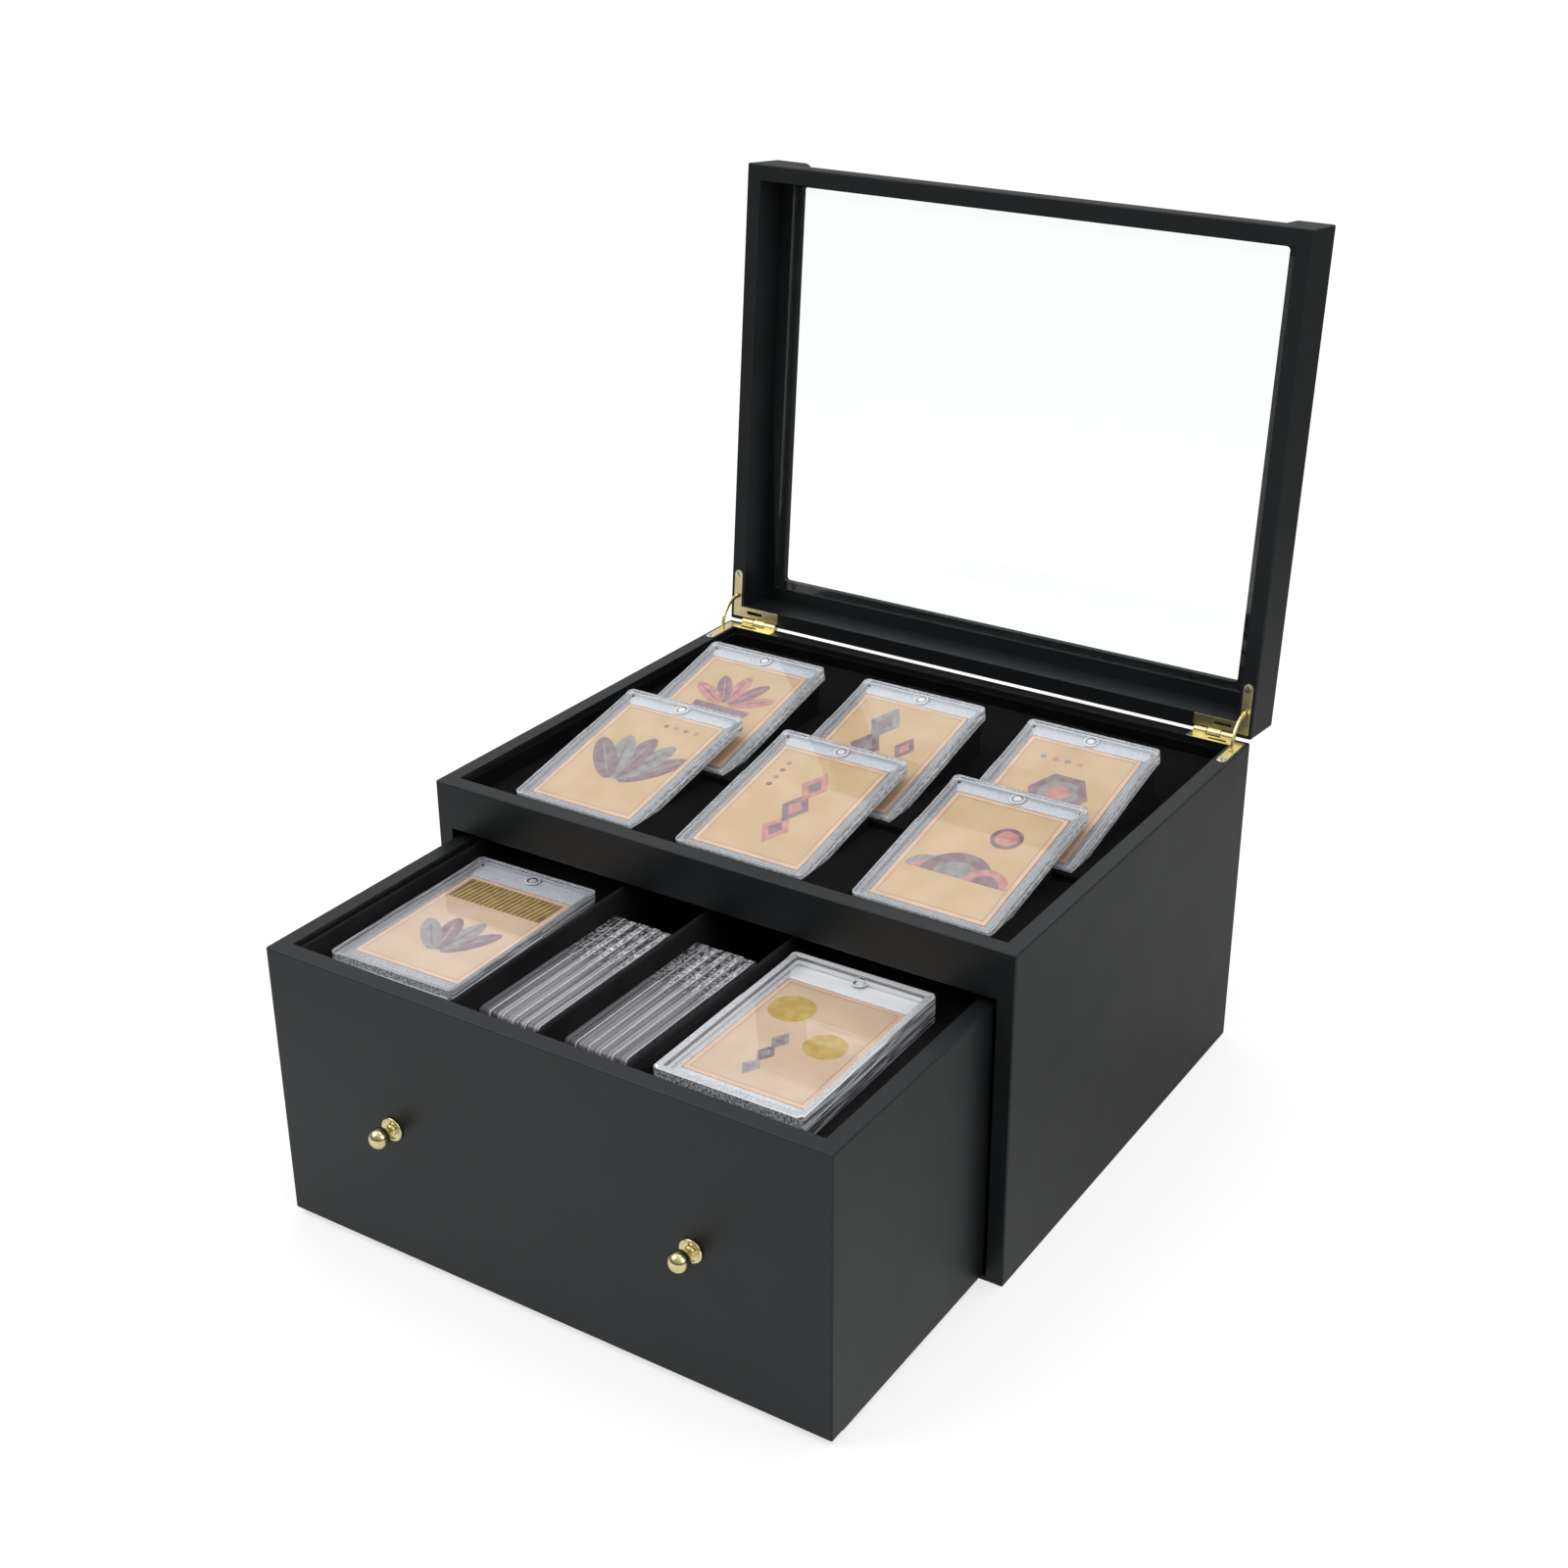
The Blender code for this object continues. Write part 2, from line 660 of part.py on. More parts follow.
def build_hinge(word, side, box, lid, lid_carrier, brass):
    spans = knuckle_spans()
    build_leaf(f"hinge_base_leaf_{word}", side, box_height - leaf_thickness,
               (spans[0], spans[2]), brass, carries_pin=True)
    build_leaf(f"hinge_lid_leaf_{word}", side, lid_low, (spans[1],), brass, lid_carrier)
    stay_home = (stay_place(side), pin_y, pin_z)
    stay_carrier = carrier(f"stay_axis_{word}", stay_home, turn=-lid_open_angle / 2)
    build_stay(f"hinge_stay_{word}", side, brass, stay_carrier)
    cut_hinge_seats(word, side, box, lid, lid_carrier)


# Drawer


def build_drawer(paint, velvet, slide):
    height = (drawer_low, drawer_high)
    full_x = (-drawer_x, drawer_x)
    side_y = (drawer_inner_front + fit_gap, drawer_back)
    between = (-drawer_inner_x + fit_gap, drawer_inner_x - fit_gap)
    walls = [
        board("drawer_front", full_x, (-half_depth, drawer_inner_front), height, paint, slide,
              shown="-y +z -z -x +x"),
        board("drawer_side_left", (-drawer_x, -drawer_inner_x), side_y, height, paint, slide,
              shown="-x +z +y"),
        board("drawer_side_right", (drawer_inner_x, drawer_x), side_y, height, paint, slide,
              shown="+x +z +y"),
        board("drawer_back", between, (drawer_inner_back, drawer_back), height, paint, slide,
              shown="+y +z"),
    ]
    reach = groove_depth - fit_gap
    panel_x = (-drawer_inner_x - reach, drawer_inner_x + reach)
    panel_y = (drawer_inner_front - reach, drawer_inner_back + reach)
    panel_z = (drawer_bottom_low, drawer_bottom_high)
    board("drawer_bottom", panel_x, panel_y, panel_z, paint, slide)
    groove = box_helper("drawer_groove", grown(panel_x, fit_gap), grown(panel_y, fit_gap),
                        grown(panel_z, fit_gap), slide)
    for panel in walls:
        combine(panel, groove)
    liner_x = grown((-drawer_inner_x, drawer_inner_x), -fit_gap)
    liner_y = grown((drawer_inner_front, drawer_inner_back), -fit_gap)
    ring("drawer_liner", liner_x, liner_y, drawer_liner_thickness,
         (former_low, drawer_high - drawer_liner_drop), velvet, slide)
    inside_y = grown(liner_y, -drawer_liner_thickness - fit_gap)
    build_former(velvet, drawer_inside_x(), inside_y, slide)
    for word, place in dividers().items():
        board(f"drawer_divider_{word}", grown((place, place), divider_thickness / 2), inside_y,
              (well_floor + fit_gap, drawer_high - divider_drop), velvet, slide)
    return walls[0], inside_y


def drawer_inside_x():
    """The drawer's inner width, between its linings."""
    return grown((-drawer_inner_x, drawer_inner_x), -drawer_liner_thickness - 2 * fit_gap)


def dividers():
    """A bay at each side is as wide as its flat case and some room. The rest is halved."""
    inside = drawer_inside_x()
    left = inside[0] + left_case_width + left_bay_room
    right = inside[1] - right_case_width - right_bay_room
    return {"left": left, "middle": (left + right) / 2, "right": right}


def build_former(velvet, inside_x, inside_y, slide):
    """A velvet-covered block: a raised platform at each side and a well between them."""
    well_left = dividers()["left"] - divider_thickness / 2 - fit_gap
    well_right = dividers()["right"] + divider_thickness / 2 + fit_gap
    outline = [
        (inside_x[0], former_low), (inside_x[1], former_low), (inside_x[1], platform_high),
        (well_right, platform_high), (well_right, well_floor), (well_left, well_floor),
        (well_left, platform_high), (inside_x[0], platform_high),
    ]
    piece_from("drawer_former", prism_mesh(outline, *inside_y, axis="Y"), velvet, slide)


def knob_profile():
    """Stud, flange, collar, neck and ball, as (radius, distance from the drawer's face)."""
    flange_front = fit_gap + knob_flange_thickness
    collar_front = flange_front + knob_collar_thickness
    profile = [(0, -knob_stud_length), (knob_stud_radius, -knob_stud_length),
               (knob_stud_radius, fit_gap), (knob_flange_radius, fit_gap),
               (knob_flange_radius, flange_front), (knob_collar_radius, collar_front)]
    start = math.pi - math.asin(knob_neck_radius / knob_ball_radius)
    profile.append((knob_neck_radius, collar_front))
    ball_steps = 2 * arc_steps
    for step in range(ball_steps + 1):
        angle = start * (1 - step / ball_steps)
        profile.append((knob_ball_radius * math.sin(angle),
                        knob_ball_reach + knob_ball_radius * math.cos(angle)))
    return profile


def build_knobs(drawer_front, slide, brass):
    height = (drawer_low + drawer_high) / 2 - knob_drop
    for word, side in (("left", -1), ("right", 1)):
        place = Vector((side * knob_spacing / 2, -half_depth, height))
        knob = turned(f"knob_{word}", knob_profile(), brass, slide)
        knob.location += place
        bore_outline = circle((place.x, place.z), knob_stud_radius + fit_gap, pin_steps)
        bore_span = (-half_depth - overcut, -half_depth + knob_stud_length + fit_gap)
        bore = helper(f"knob_bore_{word}", prism_mesh(bore_outline, *bore_span, axis="Y"), slide)
        combine(drawer_front, bore)


# Cards in clear cases


def build_case(prefix, home, size, looks, tilt=0.0, parent=None, swivel=0.0):
    """A two-part magnetic case with a card in it, lying on its foot edge at home."""
    width, length, thickness = size
    clear, card_look = looks
    lie = carrier(f"{prefix}_lie", home, parent, turn=tilt, swivel=swivel)
    x = (home[0] - width / 2, home[0] + width / 2)
    y = (home[1], home[1] + length)
    base_z = (home[2], home[2] + thickness * case_base_share)
    cover_z = (base_z[1] + fit_gap, home[2] + thickness)
    outline = rounded_rectangle(x, y, case_corner_radius)
    base = piece_from(f"{prefix}_case_base", prism_mesh(outline, *base_z), clear, lie)
    cover_mesh = prism_mesh(outline, *cover_z)
    top_edges = [edge for edge in cover_mesh.edges
                 if all(abs(v.co.z - cover_z[1]) < fit_gap for v in edge.verts)]
    bmesh.ops.bevel(cover_mesh, geom=top_edges, offset=case_chamfer, segments=1, affect="EDGES")
    cover = piece_from(f"{prefix}_case_cover", cover_mesh, clear, lie)
    card_y = (y[0] + y[1] - card_length) / 2 - card_lift
    card_x = (home[0] - card_width / 2, home[0] + card_width / 2)
    card_z = (base_z[1] - card_thickness, base_z[1])
    board(f"{prefix}_card", card_x, (card_y, card_y + card_length), card_z, card_look, lie)
    pocket = box_helper(f"{prefix}_card_pocket", grown(card_x, fit_gap),
                        grown((card_y, card_y + card_length), fit_gap),
                        (card_z[0] - fit_gap, base_z[1] + overcut), lie)
    combine(base, pocket)
    magnet = circle((home[0], y[1] - magnet_inset), magnet_bore_radius, pin_steps)
    low_bore = prism_mesh(magnet, base_z[1] - magnet_bore_depth, base_z[1] + fit_gap / 2)
    high_bore = prism_mesh(magnet, cover_z[0] - fit_gap / 2, cover_z[0] + magnet_bore_depth)
    combine(base, helper(f"{prefix}_magnet_bore", low_bore, lie))
    combine(cover, helper(f"{prefix}_cover_magnet_bore", high_bore, lie))


def build_tray_cards(looks):
    size = (case_width, case_length, case_thickness)
    for row, (foot, tilt, _) in row_feet().items():
        for column, middle in case_middles(row).items():
            build_case(f"{row}_{column}", (middle, *foot), size, looks, tilt)


def build_drawer_cards(looks, inside_y, slide):
    low = platform_high + fit_gap
    left_size = (left_case_width, left_case_length, left_case_thickness)
    inside_x = drawer_inside_x()
    left_middle = inside_x[0] + left_case_side_gap + left_case_width / 2
    left_home = (left_middle, inside_y[0] + left_case_inset, low)
    build_case("drawer_left", left_home, left_size, looks, parent=slide, swivel=left_case_turn)
    right_size = (right_case_width, right_case_length, right_case_thickness)
    right_middle = inside_x[1] - right_case_side_gap - right_case_width / 2
    right_home = (right_middle, inside_y[0] + right_case_inset, low)
    build_case("drawer_right", right_home, right_size, looks, parent=slide, swivel=right_case_turn)
    places = dividers()
    well_width = places["middle"] - places["left"] - divider_thickness
    count = max(1, int(standing_fill_share * well_width / case_thickness))
    for word, divider in (("left", "left"), ("right", "middle")):
        start = places[divider] + divider_thickness / 2 + standing_side_gap
        build_standing_cases(f"standing_cases_{word}", start, count, inside_y, looks[0], slide)


def build_standing_cases(name, start, count, inside_y, clear, slide):
    """Cases that stand on a long edge, pressed together, with a groove between their rounded tops."""
    low = well_floor + fit_gap
    high = low + case_width
    end = start + count * case_thickness
    outline = [(end, low), (end, high - case_chamfer)]
    for place in reversed(range(count)):
        left = start + place * case_thickness
        outline += [(left + case_thickness - case_chamfer, high), (left + case_chamfer, high),
                    (left, high - case_chamfer)]
    outline.append((start, low))
    y = (inside_y[0] + standing_inset, inside_y[0] + standing_inset + case_length)
    home = ((start + end) / 2, y[0], low)
    lie = carrier(f"{name}_lie", home, slide)
    piece_from(name, prism_mesh(outline, *y, axis="Y"), clear, lie)


def main():
    clear_scene()
    paint = material("black_paint", (0.012, 0.012, 0.013), 0.35)
    velvet = material("black_velvet", (0.004, 0.004, 0.004), 0.95)
    brass = material("polished_brass", (0.85, 0.60, 0.22), 0.18, metallic=1.0)
    clear = material("clear_plastic", (0.92, 0.95, 0.96), 0.05, transmission=0.9)
    glass = material("clear_glass", (0.95, 0.98, 0.97), 0.02, transmission=1.0)
    card_stock = material("printed_card", (0.80, 0.62, 0.36), 0.5)
    lid_carrier = carrier("lid_axis", (0.0, pin_y, pin_z), turn=-lid_open_angle)
    slide = carrier("drawer_slide", (0.0, -half_depth, drawer_low), shift=(0.0, -drawer_extension, 0.0))
    box = build_box(paint, velvet)
    lid = build_lid(paint, glass, lid_carrier)
    for word, side in (("left", -1), ("right", 1)):
        build_hinge(word, side, box, lid, lid_carrier, brass)
    drawer_front, inside_y = build_drawer(paint, velvet, slide)
    build_knobs(drawer_front, slide, brass)
    looks = (clear, card_stock)
    build_tray_cards(looks)
    build_drawer_cards(looks, inside_y, slide)


main()
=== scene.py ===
"""Looks of a card display box: painted wood, velvet, polished brass, and cards in clear cases.

Metres, +Z up. The drawer opens towards -Y, and the lid stands open at the back.
"""

import json
import math

import bmesh
import bpy
from mathutils import Matrix, Vector


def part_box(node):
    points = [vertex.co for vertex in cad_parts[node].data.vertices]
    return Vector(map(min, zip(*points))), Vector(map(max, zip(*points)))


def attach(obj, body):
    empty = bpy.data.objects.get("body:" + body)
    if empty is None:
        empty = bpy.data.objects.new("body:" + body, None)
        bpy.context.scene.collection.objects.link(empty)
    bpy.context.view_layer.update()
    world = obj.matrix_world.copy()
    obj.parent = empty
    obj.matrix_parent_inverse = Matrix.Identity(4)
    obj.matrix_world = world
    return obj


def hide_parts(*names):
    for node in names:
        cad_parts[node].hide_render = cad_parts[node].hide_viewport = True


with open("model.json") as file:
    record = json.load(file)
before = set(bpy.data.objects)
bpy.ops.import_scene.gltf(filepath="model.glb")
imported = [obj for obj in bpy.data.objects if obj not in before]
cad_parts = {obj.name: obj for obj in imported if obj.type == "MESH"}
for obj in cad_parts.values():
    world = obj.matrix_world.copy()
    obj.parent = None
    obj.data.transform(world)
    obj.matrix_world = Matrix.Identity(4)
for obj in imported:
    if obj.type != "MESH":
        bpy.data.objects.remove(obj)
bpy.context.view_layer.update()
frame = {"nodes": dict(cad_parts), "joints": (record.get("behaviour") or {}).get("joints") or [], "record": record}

nodes = frame["nodes"]
body_of_node = {}
for body, members in frame["record"]["behaviour"]["bodies"].items():
    for member in members:
        body_of_node[member] = body

# Fits and edges
fit_gap = 0.0003
on_plane = 0.00005
merge_distance = 0.000001
paint_edge = 0.00035
velvet_edge = 0.0012
brass_edge = 0.00012

# Angles between faces, in degrees
flat_angle = 0.5
rounded_angle = 28
crease_angle = 40

# Camera
camera_place = Vector((0.55174, -0.90397, 0.67816))
camera_yaw = -0.553923
camera_pitch = 0.435764
camera_roll = 0.004992
camera_lens = 50.673
camera_shift = (-0.035166, -0.016868)

# Card and its printing
card_width = 0.0635
card_length = 0.0889
card_corner = 0.0012
ink_lift = 0.00004
ink_step = 0.00002


# Materials


def new_finish(name):
    """A material with its node tree and shader."""
    made = bpy.data.materials.new(name)
    made.use_nodes = True
    tree = made.node_tree
    return made, tree, tree.nodes["Principled BSDF"]


def add_node(tree, kind, **values):
    """A node whose inputs and settings are given by name, with _ for a space in an input's name."""
    made = tree.nodes.new(kind)
    for key, value in values.items():
        title = key.replace("_", " ")
        if title in made.inputs:
            made.inputs[title].default_value = value
        else:
            setattr(made, key, value)
    return made


def object_point(tree, stretch=(1, 1, 1)):
    """Object coordinates, stretched along the axes."""
    coordinates = tree.nodes.new("ShaderNodeTexCoord")
    mapping = add_node(tree, "ShaderNodeMapping", Scale=stretch)
    tree.links.new(coordinates.outputs["Object"], mapping.inputs["Vector"])
    return mapping.outputs["Vector"]


def noise(tree, scale, detail, stretch=(1, 1, 1)):
    made = add_node(tree, "ShaderNodeTexNoise", Scale=scale, Detail=detail)
    tree.links.new(object_point(tree, stretch), made.inputs["Vector"])
    return made.outputs["Fac"]


def ramp(tree, factor, low, high, out_low, out_high):
    """A number from out_low to out_high as factor goes from low to high."""
    made = tree.nodes.new("ShaderNodeMapRange")
    for index, value in enumerate((low, high, out_low, out_high)):
        made.inputs[index + 1].default_value = value
    tree.links.new(factor, made.inputs[0])
    return made.outputs[0]


def blend(tree, factor, first, second):
    """A colour from first to second, each a colour or a socket."""
    made = tree.nodes.new("ShaderNodeMix")
    made.data_type = "RGBA"
    tree.links.new(factor, made.inputs["Factor"])
    for socket, value in ((made.inputs[6], first), (made.inputs[7], second)):
        if isinstance(value, bpy.types.NodeSocket):
            tree.links.new(value, socket)
        else:
            socket.default_value = (*value, 1)
    return made.outputs[2]


def combine(tree, operation, first, second):
    """A sum, product or the like of a socket and another socket or number."""
    made = add_node(tree, "ShaderNodeMath", operation=operation)
    tree.links.new(first, made.inputs[0])
    if isinstance(second, bpy.types.NodeSocket):
        tree.links.new(second, made.inputs[1])
    else:
        made.inputs[1].default_value = second
    return made.outputs[0]


def split_axes(tree, output):
    """The X, Y and Z of a texture coordinate, by name."""
    coordinates = tree.nodes.new("ShaderNodeTexCoord")
    parts = tree.nodes.new("ShaderNodeSeparateXYZ")
    tree.links.new(coordinates.outputs[output], parts.inputs[0])
    return parts.outputs


def bump(tree, shader, height, strength, distance):
    made = add_node(tree, "ShaderNodeBump", Strength=strength, Distance=distance)
    tree.links.new(height, made.inputs["Height"])
    tree.links.new(made.outputs["Normal"], shader.inputs["Normal"])


black_tones = ((0.0062, 0.0074, 0.0084), (0.0084, 0.0098, 0.0110))


def paint_finish():
    """Satin black lacquer: a faint orange peel, a hint of the grain, and softly uneven gloss."""
    made, tree, shader = new_finish("satin_black_lacquer")
    cloud = noise(tree, 26, 4)
    color = blend(tree, ramp(tree, cloud, 0.3, 0.7, 0, 1), *black_tones)
    tree.links.new(color, shader.inputs["Base Color"])
    shader.inputs["Specular IOR Level"].default_value = 0.40
    shader.inputs["Specular Tint"].default_value = (0.93, 0.975, 1.0, 1)
    rough = ramp(tree, noise(tree, 30, 3), 0.3, 0.7, 0.385, 0.415)
    tree.links.new(rough, shader.inputs["Roughness"])
    bump(tree, shader, noise(tree, 700, 2), 0.06, 0.0004)
    return made


def velvet_finish(name, dim, bright):
    """Black velvet: a short pile that scatters light at glancing angles, with a painted sheen: lighter and darker
    patches where the pile lies this way and that.
    """
    made, tree, shader = new_finish(name)
    # Lighter and darker patches of the pile: painted sheen
    nap_sheen_patches = noise(tree, 38, 3, (1, 0.6, 1))
    color = blend(tree, ramp(tree, nap_sheen_patches, 0.35, 0.7, 0, 1), dim, bright)
    tree.links.new(color, shader.inputs["Base Color"])
    shader.inputs["Roughness"].default_value = 1.0
    shader.inputs["Specular IOR Level"].default_value = 0.08
    shader.inputs["Sheen Weight"].default_value = 0.05
    shader.inputs["Sheen Roughness"].default_value = 0.35
    bump(tree, shader, noise(tree, 2600, 2), 0.5, 0.0004)
    return made


wave_depth = 0.24


def brass_finish(name, first, second, smoothest, roughest, wave_scale=1200, wave=0.08):
    """Polished yellow brass with duller patches.

    Its fine waves are hairline scratches, or soft dips where the scale is small.
    """
    made, tree, shader = new_finish(name)
    cloud = noise(tree, 300, 3)
    color = blend(tree, ramp(tree, cloud, 0.35, 0.7, 0, 1), first, second)
    tree.links.new(color, shader.inputs["Base Color"])
    shader.inputs["Metallic"].default_value = 1.0
    rough = ramp(tree, noise(tree, 500, 4), 0.3, 0.75, smoothest, roughest)
    tree.links.new(rough, shader.inputs["Roughness"])
    bump(tree, shader, noise(tree, wave_scale, 3, (1, 0.3, 1)), wave, wave_depth / wave_scale)
    return made


def nickel_finish():
    """Nickel-plated discs: the magnets that hold the cases shut."""
    made, tree, shader = new_finish("bright_nickel")
    shader.inputs["Base Color"].default_value = (0.95, 0.95, 0.97, 1)
    shader.inputs["Metallic"].default_value = 0.4
    rough = ramp(tree, noise(tree, 900, 3), 0.3, 0.7, 0.25, 0.40)
    tree.links.new(rough, shader.inputs["Roughness"])
    return made


def let_lamps_through(made, share):
    """Lets lamps light what is behind the clear plastic or glass, by that share."""
    tree = made.node_tree
    output = tree.nodes["Material Output"]
    shader = tree.nodes["Principled BSDF"]
    path = tree.nodes.new("ShaderNodeLightPath")
    amount = combine(tree, "MULTIPLY", path.outputs["Is Shadow Ray"], share)
    clear = tree.nodes.new("ShaderNodeBsdfTransparent")
    mix = tree.nodes.new("ShaderNodeMixShader")
    tree.links.new(amount, mix.inputs[0])
    tree.links.new(shader.outputs[0], mix.inputs[1])
    tree.links.new(clear.outputs[0], mix.inputs[2])
    tree.links.new(mix.outputs[0], output.inputs["Surface"])


def acrylic_finish():
    """Clear cast plastic with a slight haze and fine rub marks."""
    made, tree, shader = new_finish("clear_cast_plastic")
    shader.inputs["Base Color"].default_value = (0.97, 0.98, 0.99, 1)
    shader.inputs["Transmission Weight"].default_value = 1.0
    shader.inputs["IOR"].default_value = 1.4
    rough = ramp(tree, noise(tree, 220, 4), 0.35, 0.7, 0.0, 0.03)
    tree.links.new(rough, shader.inputs["Roughness"])
    let_lamps_through(made, 0.9)
    return made


def acrylic_edge_finish(name, dim, bright, grain):
    """The cases' walls: clear plastic whose colour is painted light, whitish with streaks of painted glints.

    A small grain draws the painted glints out along the case, and a grain of 1 leaves them as round specks.
    """
    made, tree, shader = new_finish(name)
    mottle = noise(tree, 900, 3, (1, grain, 1))
    # Painted glints: whitish streaks where the walls would catch the light
    color = blend(tree, ramp(tree, mottle, 0.42, 0.58, 0, 1), dim, bright)
    tree.links.new(color, shader.inputs["Base Color"])
    shader.inputs["Transmission Weight"].default_value = 0.25
    shader.inputs["IOR"].default_value = 1.45
    shader.inputs["Roughness"].default_value = 0.16
    bump(tree, shader, noise(tree, 900, 3, (1, 0.4, 1)), 0.3, 0.0005)
    let_lamps_through(made, 0.7)
    return made


glitter_start_share = 0.50
glitter_full_share = 0.72


def standing_finish(name, front_tones, rear_tones):
    """Walls of the cases on edge, painted with light: long straight streaks of painted glints, which turn to
    painted glitter at the back, where the grips are.
    """
    made, tree, shader = new_finish(name)
    streaks = noise(tree, 900, 2, (1, 0.012, 0.012))
    front = blend(tree, ramp(tree, streaks, 0.40, 0.62, 0, 1), *front_tones)
    specks = noise(tree, 650, 3)
    rear = blend(tree, ramp(tree, specks, 0.46, 0.60, 0, 1), *rear_tones)
    low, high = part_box("standing_cases_left")
    length = high.y - low.y
    back = ramp(tree, split_axes(tree, "Object")["Y"], low.y + length * glitter_start_share,
                low.y + length * glitter_full_share, 0, 1)
    color = blend(tree, back, front, rear)
    tree.links.new(color, shader.inputs["Base Color"])
    shader.inputs["Transmission Weight"].default_value = 0.15
    shader.inputs["IOR"].default_value = 1.45
    shader.inputs["Roughness"].default_value = 0.2
    let_lamps_through(made, 0.5)
    return made


def frost_finish(name, dim, bright):
    """Frosted plastic: a fine grain between two tones, under a little gloss."""
    made, tree, shader = new_finish(name)
    grain = noise(tree, 1600, 4)
    color = blend(tree, ramp(tree, grain, 0.35, 0.65, 0, 1), dim, bright)
    tree.links.new(color, shader.inputs["Base Color"])
    shader.inputs["Roughness"].default_value = 0.3
    bump(tree, shader, grain, 0.15, 0.0003)
    return made


def pane_finish():
    """Thin clear glass for the lid."""
    made, tree, shader = new_finish("thin_clear_glass")
    shader.inputs["Base Color"].default_value = (0.985, 1.0, 0.995, 1)
    shader.inputs["Transmission Weight"].default_value = 1.0
    shader.inputs["IOR"].default_value = 1.45
    rough = ramp(tree, noise(tree, 40, 2), 0.4, 0.7, 0.0, 0.015)
    tree.links.new(rough, shader.inputs["Roughness"])
    let_lamps_through(made, 0.95)
    return made


def ink_finish(name, first, second, scale=220):
    """Printing ink on coated card: two close tones in a soft mottle."""
    made, tree, shader = new_finish(name)
    mottle = noise(tree, scale, 4)
    color = blend(tree, ramp(tree, mottle, 0.35, 0.65, 0, 1), first, second)
    tree.links.new(color, shader.inputs["Base Color"])
    shader.inputs["Roughness"].default_value = 0.42
    bump(tree, shader, noise(tree, 2500, 2), 0.05, 0.0002)
    return made


finishes = {
    "paint": paint_finish(),
    "velvet": velvet_finish("black_pile_velvet", (0.0018, 0.0019, 0.0021), (0.0042, 0.0044, 0.0048)),
    # The same velvet painted lighter for the drawer: painted light for its shaded inside
    "drawer_velvet": velvet_finish("drawer_pile_velvet", (0.011, 0.0115, 0.0125), (0.022, 0.0225, 0.024)),
    "brass": brass_finish("bright_brass", (0.82, 0.74, 0.42), (0.66, 0.56, 0.28), 0.12, 0.24),
    "satin_brass": brass_finish("satin_brass", (1, 0.91, 0.54), (0.94, 0.79, 0.38), 0.30, 0.36, 150, 0.03),
    "pale_brass": brass_finish("pale_brass", (1, 0.96, 0.78), (0.96, 0.90, 0.66), 0.14, 0.26),
    "nickel": nickel_finish(),
    "clear": acrylic_finish(),
    # Case walls: whitish tones with streaks of painted glints; the darkest copy adds painted shade
    "edge": acrylic_edge_finish("plastic_edge_painted_glints", (0.52, 0.53, 0.56), (0.96, 0.97, 0.98), 0.3),
    "painted_glint_edge": acrylic_edge_finish("plastic_edge_painted_glint_streaks",
                                         (0.30, 0.32, 0.36), (0.90, 0.92, 0.95), 0.05),
    "painted_shade_edge": acrylic_edge_finish("plastic_edge_painted_shade_and_glints",
                                     (0.16, 0.165, 0.19), (0.88, 0.90, 0.95), 0.04),
    # Cases on edge: the streaks and glitter are painted glints, and the duller copy is painted shade
    "standing": standing_finish("standing_wall_painted_glints",
                                ((0.22, 0.22, 0.24), (0.43, 0.44, 0.47)),
                                ((0.26, 0.26, 0.27), (0.95, 0.95, 0.97))),
    "painted_shade_standing": standing_finish("standing_wall_painted_shade",
                                     ((0.12, 0.12, 0.13), (0.27, 0.27, 0.29)),
                                     ((0.05, 0.05, 0.052), (0.46, 0.46, 0.48))),
    "frost": frost_finish("frosted_plastic", (0.24, 0.25, 0.26), (0.50, 0.51, 0.54)),
    # A lighter copy of the frost: painted highlight on the top-end margins and the hollow walls
    "frost_painted_highlight": frost_finish("frosted_plastic_painted_highlight", (0.48, 0.50, 0.54), (0.74, 0.76, 0.80)),
    # White rim lines where the clear plastic would catch the light: painted highlight
    "rim": frost_finish("plastic_rim_painted_highlight", (0.84, 0.86, 0.88), (0.97, 0.97, 0.98)),
    # A whitish band on the right drawer case's cover: painted light
    "painted_light_border": frost_finish("plastic_border_painted_light", (0.40, 0.41, 0.44), (0.70, 0.71, 0.74)),
    # Dark plastic for the pegs and the drawer cases' magnet seats, and painted shade in the screws' slots
    "smoke_and_slot_shade": frost_finish("dark_plastic_and_painted_slot_shade", (0.03, 0.03, 0.03), (0.08, 0.08, 0.09)),
    "pane": pane_finish(),
    "field": ink_finish("card_tan", (0.60, 0.415, 0.225), (0.655, 0.475, 0.285), 60),
    "pale_field": ink_finish("card_pale_tan", (0.60, 0.43, 0.295), (0.655, 0.49, 0.36), 60),
    "line": ink_finish("card_brown_line", (0.30, 0.19, 0.14), (0.40, 0.27, 0.20)),
    "mauve": ink_finish("card_mauve", (0.20, 0.13, 0.15), (0.32, 0.22, 0.24)),
    "rose": ink_finish("card_rose", (0.50, 0.21, 0.18), (0.60, 0.31, 0.27)),
    "grey": ink_finish("card_grey", (0.24, 0.23, 0.23), (0.36, 0.34, 0.33)),
    "gold": ink_finish("card_gold", (0.46, 0.31, 0.08), (0.58, 0.41, 0.12)),
    "umber": ink_finish("card_umber", (0.15, 0.095, 0.045), (0.24, 0.15, 0.07)),
    "blush": ink_finish("card_blush", (0.70, 0.45, 0.31), (0.78, 0.54, 0.38), 90),
}


# Pieces


